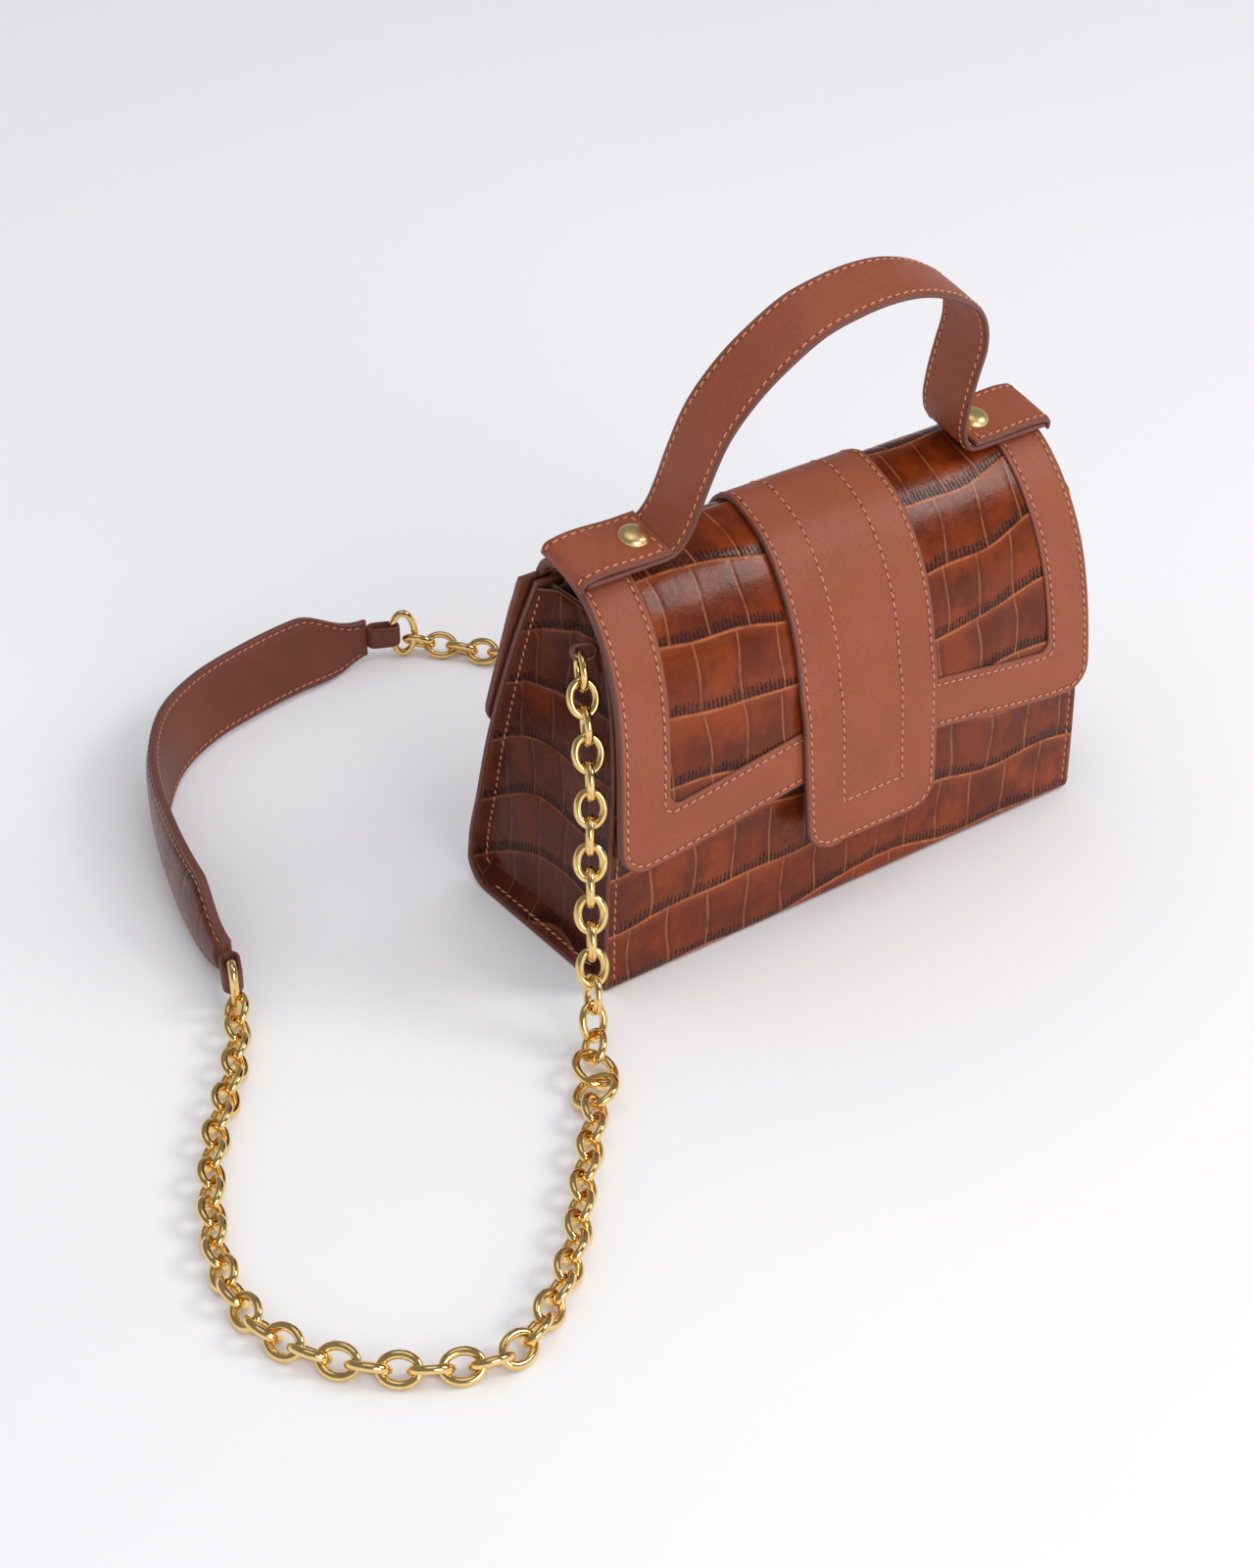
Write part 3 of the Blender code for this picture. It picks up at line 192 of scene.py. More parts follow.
FLAP_LENGTH, FLAP_STRAIGHT, FLAP_CORNER_DROP = 116.5, 24.0, 9.0
FLAP_TOP_WIDTH, FLAP_LOW_WIDTH = 176.0, 186.2


def flap_half_width(s):
    """Half the flap's width: narrow over the top, then wider towards the front edge."""
    spread = smooth_step((np.asarray(s) - HINGE - FLAP_STRAIGHT) / (FLAP_LENGTH - FLAP_STRAIGHT))
    return (FLAP_TOP_WIDTH + (FLAP_LOW_WIDTH - FLAP_TOP_WIDTH) * spread) / 2


def flap_edge(x):
    """Where the flap's front edge lies at x: lowest at its corners."""
    return HINGE + FLAP_LENGTH + FLAP_CORNER_DROP * (smooth_step(np.abs(x) * 2 / FLAP_LOW_WIDTH) - 1)


# Random but fixed: smooth wandering from a sum of sines
def wander(a, b, seed, scale):
    """A smooth field between about -1 and 1 over two coordinates in millimetres."""
    rng = np.random.default_rng(seed)
    total = np.zeros(np.broadcast(a, b).shape)
    for _ in range(6):
        angle, phase, pitch = rng.uniform(0, 2 * math.pi), rng.uniform(0, 2 * math.pi), rng.uniform(0.6, 1.6)
        total = total + np.sin((a * math.cos(angle) + b * math.sin(angle)) / (scale * pitch) + phase)
    return total / 3.0


def paint_slots(mesh, materials):
    """Gives a mesh its materials in order, in place of those it has."""
    mesh.materials.clear()
    for mat in materials:
        mesh.materials.append(mat)


def new_mesh(name, verts, faces, materials, face_slots=None, uvs=None):
    """An object from points in millimetres, with material slots and UV maps of per-vertex pairs."""
    mesh = bpy.data.meshes.new(name)
    mesh.from_pydata((np.asarray(verts) * MM).tolist(), [], [list(map(int, f)) for f in faces])
    obj = bpy.data.objects.new(name, mesh)
    paint_slots(mesh, materials)
    if face_slots is not None:
        mesh.polygons.foreach_set("material_index", np.asarray(face_slots, np.int32))
    loops = np.empty(len(mesh.loops), np.int32)
    mesh.loops.foreach_get("vertex_index", loops)
    for layer_name, pairs in (uvs or {}).items():
        layer = mesh.uv_layers.new(name=layer_name)
        layer.data.foreach_set("uv", np.asarray(pairs, np.float32)[loops].ravel())
    mesh.shade_smooth()
    bpy.context.scene.collection.objects.link(obj)
    return obj


def dress(piece, body, slot, *nodes):
    """Lets a piece ride on a body and stand for CAD nodes; slot is not used."""
    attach(piece, body)
    if nodes:
        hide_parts(*nodes)


def tube_quads(rings, sides, closed=True, flipped=False):
    """Quads between rings of points that follow each other in one list."""
    quads = []
    for a in range(rings if closed else rings - 1):
        here, ahead = a * sides, (a + 1) % rings * sides
        for b in range(sides):
            c = (b + 1) % sides
            quad = [here + b, ahead + b, ahead + c, here + c]
            quads.append([quad[0], *quad[:0:-1]] if flipped else quad)
    return quads


RIM_STEPS = 4


def rim_order(rows, columns):
    """Grid indices once round its border."""
    ring = [(0, j) for j in range(columns)] + [(i, columns - 1) for i in range(1, rows)]
    ring += [(rows - 1, j) for j in range(columns - 2, -1, -1)] + [(i, 0) for i in range(rows - 2, 0, -1)]
    return np.array(ring)


def unit(vectors):
    """Vectors at length 1."""
    return vectors / np.maximum(np.linalg.norm(vectors, axis=-1), 1e-9)[..., None]


def leather_sheet(name, points, normals, thickness, materials, relief, uvs=None, rim=0.8, back=None):
    """A sheet with rounded painted edges: points are its outer face's grid, out to its very edge.

    materials are the face, the edge and the back. relief lifts the outer face along its normals,
    thickness may differ from point to point, and rim is the edges' radius.
    """
    rows, columns = points.shape[:2]
    ring = rim_order(rows, columns)
    i, j = ring[:, 0], ring[:, 1]
    deep = np.broadcast_to(np.asarray(thickness, float), (rows, columns))
    edge, out, depth = points[i, j], normals[i, j], deep[i, j][:, None]
    travel = unit(np.roll(edge, -1, 0) - edge) + unit(edge - np.roll(edge, 1, 0))
    away = np.cross(unit(travel), out)
    facing = np.cross(points[0, 1] - points[0, 0], points[1, 0] - points[0, 0]) @ normals[0, 0]
    away = unit(away - out * np.sum(away * out, axis=1)[:, None]) * (-1.0 if facing < 0 else 1.0)
    radius = np.minimum(rim, depth / 2)
    top = points + normals * relief[..., None]
    top[i, j] = edge - away * radius
    low = points - normals * deep[..., None]
    if back is not None:
        low = low - normals * back[..., None]
    low[i, j] = edge - away * radius - out * depth
    verts = [top.reshape(-1, 3), low.reshape(-1, 3)]
    levels = []
    for k in range(1, RIM_STEPS + 1):
        turn = math.pi / 2 * k / RIM_STEPS
        levels.append((1 - math.sin(turn), 1 - math.cos(turn)))
    for inward, down in levels:
        verts.append(edge - away * (radius * inward) - out * (radius * down))
    for inward, down in levels[::-1]:
        verts.append(edge - away * (radius * inward) - out * (depth - radius * down))
    count, around = rows * columns, len(ring)
    grid = np.arange(count).reshape(rows, columns)
    quads = np.stack([grid[:-1, :-1], grid[:-1, 1:], grid[1:, 1:], grid[1:, :-1]], -1).reshape(-1, 4)
    faces = [quads, quads[:, ::-1] + count]
    slots = [np.zeros(len(quads), int), np.full(len(quads), 2)]
    border = grid[i, j]
    loops = [border] + [2 * count + k * around + np.arange(around) for k in range(2 * RIM_STEPS)]
    loops.append(border + count)
    for a, b in zip(loops, loops[1:]):
        faces.append(np.stack([a, b, np.roll(b, -1), np.roll(a, -1)], -1))
        slots.append(np.ones(around, int))
    faces = np.concatenate(faces)
    if facing < 0:
        faces = faces[:, ::-1]
    layers = {}
    for layer, pairs in (uvs or {}).items():
        flat = pairs.reshape(-1, 2)
        layers[layer] = np.concatenate([flat, flat] + [flat[border]] * (2 * RIM_STEPS))
    return new_mesh(name, np.concatenate(verts), faces, materials, np.concatenate(slots), layers)


FIRST_STEP = 1.2


def stations(start, end, step, margin=FIRST_STEP):
    """Even stations with a first and last gap that the edge's rounding fits in."""
    way = 1 if end > start else -1
    count = max(2, int(abs(end - start) / step))
    inner = np.linspace(start + way * margin, end - way * margin, count)
    return np.concatenate([[start], inner, [end]])


# Materials
def tint(red, green, blue):
    """A colour from its 0-255 display values."""
    def linear(value):
        value /= 255
        return value / 12.92 if value <= 0.04045 else ((value + 0.055) / 1.055) ** 2.4
    return (linear(red), linear(green), linear(blue), 1.0)


class Graph:
    """The shader nodes of one material, added by short calls."""

    def __init__(self, name, world=False):
        self.material = bpy.data.worlds.new(name) if world else bpy.data.materials.new(name)
        self.material.use_nodes = True
        self.tree = self.material.node_tree
        self.shader = self.tree.nodes["Background" if world else "Principled BSDF"]

    def put(self, socket, value):
        """Links a socket or sets its number or colour."""
        if isinstance(value, bpy.types.NodeSocket):
            self.tree.links.new(value, socket)
        else:
            socket.default_value = value

    def node(self, kind, inputs=None, **settings):
        made = self.tree.nodes.new("ShaderNode" + kind)
        for key, value in settings.items():
            setattr(made, key, value)
        for key, value in (inputs or {}).items():
            self.put(made.inputs[key], value)
        return made

    def surface(self, **values):
        """Sets the shader's own sockets, with _ for a space in their names."""
        for key, value in values.items():
            self.put(self.shader.inputs[key.replace("_", " ")], value)

    def math(self, operation, *values, clamp=False):
        made = self.node("Math", operation=operation, use_clamp=clamp)
        for socket, value in zip(made.inputs, values):
            self.put(socket, value)
        return made.outputs[0]

    def times(self, a, b):
        return self.math("MULTIPLY", a, b)

    def plus(self, a, b):
        return self.math("ADD", a, b)

    def minus(self, a, b, clamp=False):
        return self.math("SUBTRACT", a, b, clamp=clamp)

    def mix(self, share, low, high):
        made = self.node("Mix", data_type="RGBA")
        for index, value in ((0, share), (6, low), (7, high)):
            self.put(made.inputs[index], value)
        return made.outputs[2]

    def layered(self, shade, *layers):
        """A colour with others laid over it, each by its own share."""
        for share, colour in layers:
            shade = self.mix(share, shade, colour)
        return shade

    def ramp(self, value, low, high, start=0.0, end=1.0):
        """A number eased from start to end as a value goes from low to high."""
        made = self.node("MapRange", interpolation_type="SMOOTHSTEP")
        for index, number in enumerate((value, low, high, start, end)):
            self.put(made.inputs[index], number)
        return made.outputs[0]

    def place(self, scale=(1.0, 1.0, 1.0)):
        """The object's own coordinates in millimetres, stretched by a scale."""
        where = self.node("TexCoord").outputs["Object"]
        made = self.node("Mapping", {"Vector": where})
        made.inputs["Scale"].default_value = [1000.0 * s for s in scale]
        return made.outputs[0]

    def noise(self, where, scale, detail, rough=0.5, twist=0.0):
        sizes = {"Vector": where, "Scale": scale, "Detail": detail, "Roughness": rough, "Distortion": twist}
        return self.node("TexNoise", sizes).outputs["Fac"]

    def cells(self, where, scale):
        return self.node("TexVoronoi", {"Vector": where, "Scale": scale}).outputs["Distance"]

    def bump(self, height, depth, strength, under=None):
        """A bump whose height of 1 stands depth millimetres."""
        made = self.node("Bump", {"Height": height, "Distance": depth * MM, "Strength": strength})
        if under is not None:
            self.put(made.inputs["Normal"], under)
        return made.outputs[0]


def smooth_leather(name, light, dark, rough=0.47):
    """Fine-grained leather with cloudy colour and small pores."""
    g = Graph(name)
    where = g.place()
    cloud = g.noise(where, 0.045, 4.0, 0.6)
    fine = g.noise(where, 1.0, 4.0, 0.7)
    pores = g.cells(where, 1.9)
    shade = g.layered(
        dark, (g.ramp(cloud, 0.3, 0.7), light), (g.ramp(fine, 0.4, 0.7, 0.0, 0.26), tint(104, 52, 36)),
        (g.ramp(pores, 0.0, 0.38, 0.42, 0.0), tint(96, 48, 34)),
    )
    grain = g.plus(g.times(pores, 0.6), g.times(g.noise(where, 3.2, 2.0), 0.7))
    soft = g.bump(g.noise(where, 0.22, 3.0, 0.5), 0.35, 0.5)
    g.surface(
        Base_Color=shade, Roughness=g.ramp(fine, 0.2, 0.8, rough - 0.05, rough + 0.09),
        Normal=g.bump(grain, 0.055, 0.75, soft), Specular_IOR_Level=0.34,
    )
    return g.material


def mottled(name, colour, patches, grain, rough, relief):
    """One colour patched with another by a noise that also sets the shine and the relief."""
    g = Graph(name)
    lumps = g.noise(g.place(), *grain)
    shade = g.mix(g.ramp(lumps, 0.3, 0.7), colour, patches)
    g.surface(Base_Color=shade, Roughness=g.ramp(lumps, 0.3, 0.7, *rough), Normal=g.bump(lumps, *relief))
    return g.material


def edge_paint(name, colour):
    """The thick satin paint on cut leather edges."""
    return mottled(name, colour, tint(114, 64, 50), (0.9, 3.0), (0.4, 0.58), (0.12, 0.6))


def thread(name, colour):
    """Waxed thread with its twist."""
    return mottled(name, colour, tint(198, 132, 98), (5.5, 2.0), (0.5, 0.66), (0.12, 0.8))


def suede(name, light, dark):
    """Short-napped lining."""
    g = Graph(name)
    where = g.place()
    nap = g.noise(where, 2.6, 4.0, 0.7)
    cloud = g.noise(where, 0.05, 3.0)
    shade = g.layered(dark, (g.ramp(cloud, 0.3, 0.7), light), (g.ramp(nap, 0.3, 0.7, 0.0, 0.4), dark))
    g.surface(
        Base_Color=shade, Roughness=g.ramp(nap, 0.2, 0.8, 0.86, 0.97), Normal=g.bump(nap, 0.12, 0.7),
        Sheen_Weight=0.25, Sheen_Roughness=0.5,
    )
    return g.material


def greyboard(name):
    """Pressed-fibre stiffener."""
    light, dark = tint(178, 164, 140), tint(150, 136, 112)
    return mottled(name, dark, light, (1.1, 6.0, 0.7, 1.2), (0.84, 0.94), (0.1, 0.7))


def metal(name, colour, worn, rough):
    """Polished or brushed metal with faint handling marks."""
    g = Graph(name)
    where = g.place()
    marks = g.noise(where, 0.35, 5.0, 0.65)
    hair = g.noise(g.place((1.0, 1.0, 9.0)), 1.4, 3.0)
    shade = g.mix(g.ramp(marks, 0.35, 0.75), colour, worn)
    g.surface(
        Base_Color=shade, Metallic=1.0, Roughness=g.ramp(marks, 0.3, 0.7, rough * 0.75, rough * 1.35),
        Normal=g.bump(hair, 0.01, 0.35),
    )
    return g.material


ROW, COLUMN = 21.0, 15.0
COMB_PITCH = 1.55


def croc_leather(name, deep=0.0, gloss=0.2):
    """Glossy embossed tiles, darkened all over by a share of painted shade.

    Each of the two maps holds the column across and the row down, for even or for odd rows.
    """
    g = Graph(name)
    where = g.place()
    cloud = g.noise(where, 0.06, 3.0, 0.6)
    fine = g.noise(where, 1.3, 4.0, 0.65)
    even, odd = (
        g.node("SeparateXYZ", {"Vector": g.node("UVMap", uv_map=uv_map).outputs[0]})
        for uv_map in ("tiles_even", "tiles_odd")
    )
    down = even.outputs[1]
    row = g.math("FLOOR", down)
    parity = g.math("FLOORED_MODULO", row, 2.0)
    across = g.plus(g.times(even.outputs[0], g.minus(1.0, parity)), g.times(odd.outputs[0], parity))
    fall = g.minus(down, row)
    column = g.math("FLOOR", across)
    side = g.minus(across, column)
    # distances from the tile's lines, in millimetres
    low = g.times(g.minus(1.0, fall), ROW)
    high = g.times(fall, ROW)
    flank = g.times(g.math("MINIMUM", side, g.minus(1.0, side)), COLUMN)
    # each tile differs a little
    seed = g.node("CombineXYZ", {"X": column, "Y": row, "Z": 0.0}).outputs[0]
    chance = g.node("TexWhiteNoise", {"Vector": seed}).outputs["Value"]
    # comb wrinkles hang above the tile's lower line
    comb_line = g.plus(g.times(across, COLUMN / COMB_PITCH), g.times(fine, 1.6))
    comb = g.math("ABSOLUTE", g.math("SINE", g.times(comb_line, math.pi)))
    comb_reach = g.plus(1.2, g.times(g.noise(where, 0.4, 2.0), 6.4))
    comb_zone = g.minus(1.0, g.math("DIVIDE", low, comb_reach), clamp=True)
    comb_dark = g.math("MULTIPLY", g.ramp(comb, 0.68, 0.3), g.ramp(comb_zone, 0.0, 0.3), clamp=True)
    # colour: bright middle, dark towards the lower line, light ridges, then the share of painted shade over
    # all
    flank_line = g.times(g.ramp(flank, 0.5, 0.12), g.ramp(g.noise(where, 0.2, 2.0), 0.3, 0.55, 0.25, 0.8))
    ridge = g.math("MAXIMUM", g.ramp(low, 0.6, 0.12), g.ramp(high, 0.8, 0.15))
    ridge = g.times(ridge, g.ramp(g.noise(where, 0.16, 2.0), 0.3, 0.6, 0.45, 0.95))
    shade = g.layered(
        tint(88, 31, 8),
        (g.ramp(cloud, 0.32, 0.68), tint(144, 59, 16)),
        (g.ramp(chance, 0.0, 1.0, 0.0, 0.5), tint(102, 38, 10)),
        (g.ramp(fine, 0.35, 0.8, 0.0, 0.22), tint(78, 27, 9)),
        (g.ramp(low, 4.2, 0.6, 0.0, 0.5), tint(50, 23, 14)),
        (comb_dark, tint(30, 15, 11)),
        (g.ramp(flank, 3.0, 0.3, 0.0, 0.4), tint(70, 31, 15)),
        (g.ramp(high, 3.6, 0.4, 0.0, 0.35), tint(146, 72, 34)),
        (flank_line, tint(168, 94, 57)), (ridge, tint(176, 100, 60)), (deep, tint(34, 11, 7)),
    )
    wear = g.noise(where, 0.5, 4.0, 0.7)
    matte = g.times(comb_dark, 0.3)
    height = g.minus(g.times(g.noise(where, 0.45, 3.0), 0.5), comb_dark)
    soft = g.bump(height, 0.30, 0.8)
    g.surface(
        Base_Color=shade, Roughness=g.plus(g.ramp(wear, 0.3, 0.75, 0.21, 0.34), matte),
        Specular_IOR_Level=gloss, Normal=g.bump(g.cells(where, 1.5), 0.03, 0.5, soft),
        Coat_Weight=0.6 * gloss, Coat_Roughness=0.14,
    )
    return g.material


LEATHER = smooth_leather("smooth_leather_grain", tint(154, 81, 54), tint(146, 75, 50))
# A darker copy of the smooth leather: painted shade on the pad
PAD_LEATHER = smooth_leather("pad_leather_grain", tint(118, 62, 44), tint(106, 55, 40))
LEATHER_BACK = smooth_leather("leather_flesh_side", tint(132, 68, 46), tint(110, 56, 40), 0.6)
PAINT = edge_paint("edge_paint", tint(102, 58, 48))
SMOOTH_SHEET = [LEATHER, PAINT, LEATHER_BACK]
THREAD = thread("peach_thread", tint(218, 148, 110))
CROC_THREAD = thread("tan_thread", tint(188, 118, 84))
HOLE = edge_paint("needle_hole", tint(92, 50, 38))
CROC = croc_leather("croc_embossed")
# Darkened by a share of painted shade, like the pad's leather
CROC_PAD = croc_leather("croc_shoulder_pad", 0.4)
# The side panels' croc, darkened all over with painted shade for their shaded sides
CROC_PAINTED_SHADE = croc_leather("croc_side_panel_painted_shade", 0.55, 0.09)
LINING = suede("lining_suede", tint(158, 116, 84), tint(130, 92, 64))
BOARD = greyboard("greyboard")
GOLD = metal("polished_gold", tint(250, 216, 148), tint(238, 198, 122), 0.09)
SATIN_GOLD = metal("satin_gold", tint(252, 224, 160), tint(240, 206, 136), 0.3)
STEEL = metal("zinc_steel", tint(186, 184, 178), tint(160, 158, 152), 0.4)


# Croc pattern: rows of tiles whose columns shift from row to row
def groove(distance, width=0.5):
    """1 on a line, falling to 0 on both sides of it."""
    return np.exp(-((distance / width) ** 2))


def croc_maps(x, down, seed):
    """Per-point tile coordinates for even and odd rows, and the relief of the tiles in millimetres."""
    rng = np.random.default_rng(seed)
    phase = rng.uniform(0, 2 * math.pi, 8)
    level = (
        down / ROW + 0.13 * np.sin(x / 27.0 + phase[0]) + 0.07 * np.sin(x / 11.5 + down / 33.0 + phase[1])
        + 0.05 * np.sin(x / 6.1 + phase[2]) * np.sin(down / 19.0 + phase[3])
    )
    shifts = rng.uniform(0.0, 1.0, 64)
    row = np.floor(level)
    fall = level - row
    maps = []
    for parity in (0, 1):
        own = np.mod(row + parity, 2) < 0.5
        index = np.clip((row + 20).astype(int), 1, 62)
        ease = smooth_step(fall)
        shift = np.where(own, shifts[index], shifts[index - 1] * (1 - ease) + shifts[index + 1] * ease)
        bend = 0.16 * np.sin(x / 21.0 + phase[4 + parity]) + 0.05 * np.sin(down / 9.0 + phase[6 + parity])
        maps.append(x / (COLUMN - 1.4 * parity) + shift + bend + 0.03 * np.sin(down / 4.0 + x / 9.0))
    across = np.where(np.mod(row, 2) < 0.5, maps[0], maps[1])
    side = across - np.floor(across)
    low, high = (1 - fall) * ROW, fall * ROW
    flank = np.minimum(side, 1 - side) * COLUMN
    relief = 0.10 - 0.42 * np.exp(-low / 1.5) - 0.12 * np.exp(-high / 1.1) - 0.15 * np.exp(-flank / 0.6)
    relief += 0.34 * groove(low) + 0.06 * wander(x, down, seed=seed + 1, scale=4.0)
    comb = np.abs(np.sin(math.pi * across * COLUMN / COMB_PITCH))
    relief -= 0.11 * np.clip(1 - low / 4.0, 0, 1) * np.clip(1 - comb * 1.6, 0, 1)
    layers = {
        "tiles_even": np.stack([maps[0], level], -1),
        "tiles_odd": np.stack([maps[1], level], -1),
    }
    return layers, relief


# Stitches: short raised threads with a needle hole at each end
STITCH_PITCH = 3.0
STITCH_LENGTH = 2.35
STITCH_WIDTH = 0.6
STITCH_SLANT = math.radians(9.0)
HOLE_PLACE = STITCH_LENGTH / 2 + 0.12
TANGENT_REACH = 0.4


def stitch_template():
    """One stitch's points (along, across, up) and faces, and one needle hole's."""
    rings, sides = 7, 6
    verts = []
    for a in range(rings):
        share = 2 * a / (rings - 1) - 1
        swell = math.sqrt(max(0.0, 1 - share**4)) * 0.9 + 0.1
        for b in range(sides):
            turn = 2 * math.pi * b / sides
            rise = STITCH_WIDTH * 0.36 * swell * math.sin(turn) + 0.13 - 0.34 * share**4
            verts.append((share * STITCH_LENGTH / 2, STITCH_WIDTH / 2 * swell * math.cos(turn), rise))
    faces = tube_quads(rings, sides, closed=False) + [list(range(sides))]
    faces.append([(rings - 1) * sides + b for b in reversed(range(sides))])
    return np.array(verts), faces


def hole_template():
    """A small dark dimple."""
    sides = 8
    verts = [(0.0, 0.0, 0.06)]
    for radius, rise in ((0.26, 0.055), (0.44, -0.1)):
        verts += [
            (radius * math.cos(2 * math.pi * b / sides), radius * math.sin(2 * math.pi * b / sides), rise)
            for b in range(sides)
        ]
    faces = [[0, 1 + b, 1 + (b + 1) % sides] for b in range(sides)]
    for b in range(sides):
        c = (b + 1) % sides
        faces.append([1 + b, 1 + sides + b, 1 + sides + c, 1 + c])
    verts.append((0.0, 0.0, -0.2))
    faces += [[len(verts) - 1, 1 + sides + (b + 1) % sides, 1 + sides + b] for b in range(sides)]
    return np.array(verts), faces


def read_row(values, along, s):
    """A row's point or normal at the length s."""
    return np.array([np.interp(s, along, axis) for axis in values.T])


def sew(name, rows, mat, body):
    """One object of stitches along rows, each a pair of dense points and normals in millimetres."""
    stitch, hole = stitch_template(), hole_template()
    parts = ((stitch, 0, 0.0), (hole, 1, -HOLE_PLACE), (hole, 1, HOLE_PLACE))
    verts, faces, slots = [], [], []
    total = 0
    for points, normals in rows:
        steps = np.linalg.norm(np.diff(points, axis=0), axis=1)
        along = np.concatenate([[0.0], np.cumsum(steps)])
        count = max(1, round(along[-1] / STITCH_PITCH))
        for n in range(count):
            s = along[-1] * (n + 0.5) / count
            here, up = read_row(points, along, s), unit(read_row(normals, along, s))
            forward = read_row(points, along, s + TANGENT_REACH) - read_row(points, along, s - TANGENT_REACH)
            forward = unit(forward - up * (forward @ up))
            slanted = forward * math.cos(STITCH_SLANT) + np.cross(up, forward) * math.sin(STITCH_SLANT)
            basis = np.stack([slanted, np.cross(up, slanted), up])
            for (local, local_faces), slot, shift in parts:
                verts.append(here + slanted * shift + local @ basis)
                faces += [[total + v for v in face] for face in local_faces]
                slots += [slot] * len(local_faces)
                total += len(local)
    dress(new_mesh(name, np.concatenate(verts), faces, [mat, HOLE], slots), body, "smooth_leather")


def mirrored(xs, ss):
    """A line down one side and up the other, from the parts of the half that ends in the middle."""
    xs, ss = np.concatenate(xs), np.concatenate(ss)
    return np.concatenate([-xs, xs[-2::-1]]), np.concatenate([ss, ss[-2::-1]])


def seam(face, x, s, lift):
    """A stitch row on a face through matching x and s."""
    points, normals = face.surface(x, s)
    return points + normals * np.asarray(lift)[..., None], normals


# Body: wrap with its painted side edges, and gussets folded in between
WRAP_THICKNESS = 1.6
GUSSET_RECESS = 4.1
GUSSET_FOLD = 2.0
BOARD_DEPTH = 1.9
EDGE_SET = 0.8
WRAP_SEAM = 3.0
FLANGE_WIDTH = 4.2
GUSSET_ROWS, FLOOR_ROWS = 118, 14
# How far before and behind the base's middle a side panel ends under the bag
FLOOR_FRONT, FLOOR_BACK = BASE_DEPTH / 2 - 5.0, BASE_DEPTH / 2 - 12.0
# A side panel's rows of tiles run level at the front, then slope down towards the back
ROW_SLOPE, SLOPE_START, SLOPE_EASE = 0.42, -5.0, 8.0


def make_wrap():
    """The croc wrap: front, base and back in one sheet."""
    s = stations(0.0, BODY.length, step=0.9)
    share = stations(-1.0, 1.0, step=0.0086, margin=0.0135)
    half = body_half_width(s)
    x = half[:, None] * share[None, :]
    points, normals = BODY.surface(x, s[:, None])
    layers, relief = croc_maps(x + 4.0, s[:, None] + 8.0 + 0 * x, seed=11)
    z = points[..., 2]
    inset = half[:, None] - np.abs(x)
    relief = relief * np.clip(inset / 2.5, 0, 1) * np.clip(z / 2.0, 0.0, 1.0)
    relief -= 0.22 * groove(inset - WRAP_SEAM, 0.6) * np.clip(z / 2.0, 0.0, 1.0)
    relief = np.where(z < 0.9, np.minimum(relief, 0.0), relief)
    piece = leather_sheet("bag_wrap", points, normals, WRAP_THICKNESS, [CROC, PAINT, PAINT], relief, layers)
    dress(piece, "bag_body", "croc_leather", "body_wrap")
    rows = []
    for side in (-1, 1):
        front, back = (WRAP_SEAM, body_place(4.0, True)), (body_place(9.0, False), BODY.length - WRAP_SEAM)
        for low, high in (front, back):
            line = np.linspace(low, high, 300)
            rows.append(seam(BODY, side * (body_half_width(line) - WRAP_SEAM), line, -0.16))
    sew("wrap_stitches", rows, CROC_THREAD, "bag_body")


def gusset_ladder():
    """Matching lengths down the front and the back wall, from the top to the base."""
    shares = np.linspace(0.985, 0.075, GUSSET_ROWS)
    heights = BODY.points[:, 1]
    front = np.array([body_place(v * FRONT_HEIGHT, True) for v in shares])
    back = np.array([body_place(max(v * BACK_HEIGHT, heights.min()), False) for v in shares])
    return front, back, shares


GUSSET_COLUMNS = 92


def gusset_section(front_s, back_s, side, share):
    """One level of a gusset: flange, fold, main face bulging inwards, fold, flange."""
    half_f, half_b = body_half_width(front_s), body_half_width(back_s)
    near, near_n = BODY.surface(side * (half_f - EDGE_SET), front_s)
    far, far_n = BODY.surface(side * (half_b - EDGE_SET), back_s)
    near, far = near - near_n * BOARD_DEPTH, far - far_n * BOARD_DEPTH
    t = np.linspace(0.0, 1.0, GUSSET_COLUMNS)
    line = near + (far - near) * t[:, None]
    width = np.linalg.norm(far - near)
    inset = np.minimum(t, 1 - t) * width
    drop = GUSSET_RECESS * smooth_step(inset / FLANGE_WIDTH)
    bulge = math.sin(math.pi * min(1.0, share + 0.05)) * GUSSET_FOLD
    drop = drop + bulge * np.sin(np.pi * t) ** 1.5
    line[:, 0] -= side * drop
    return line


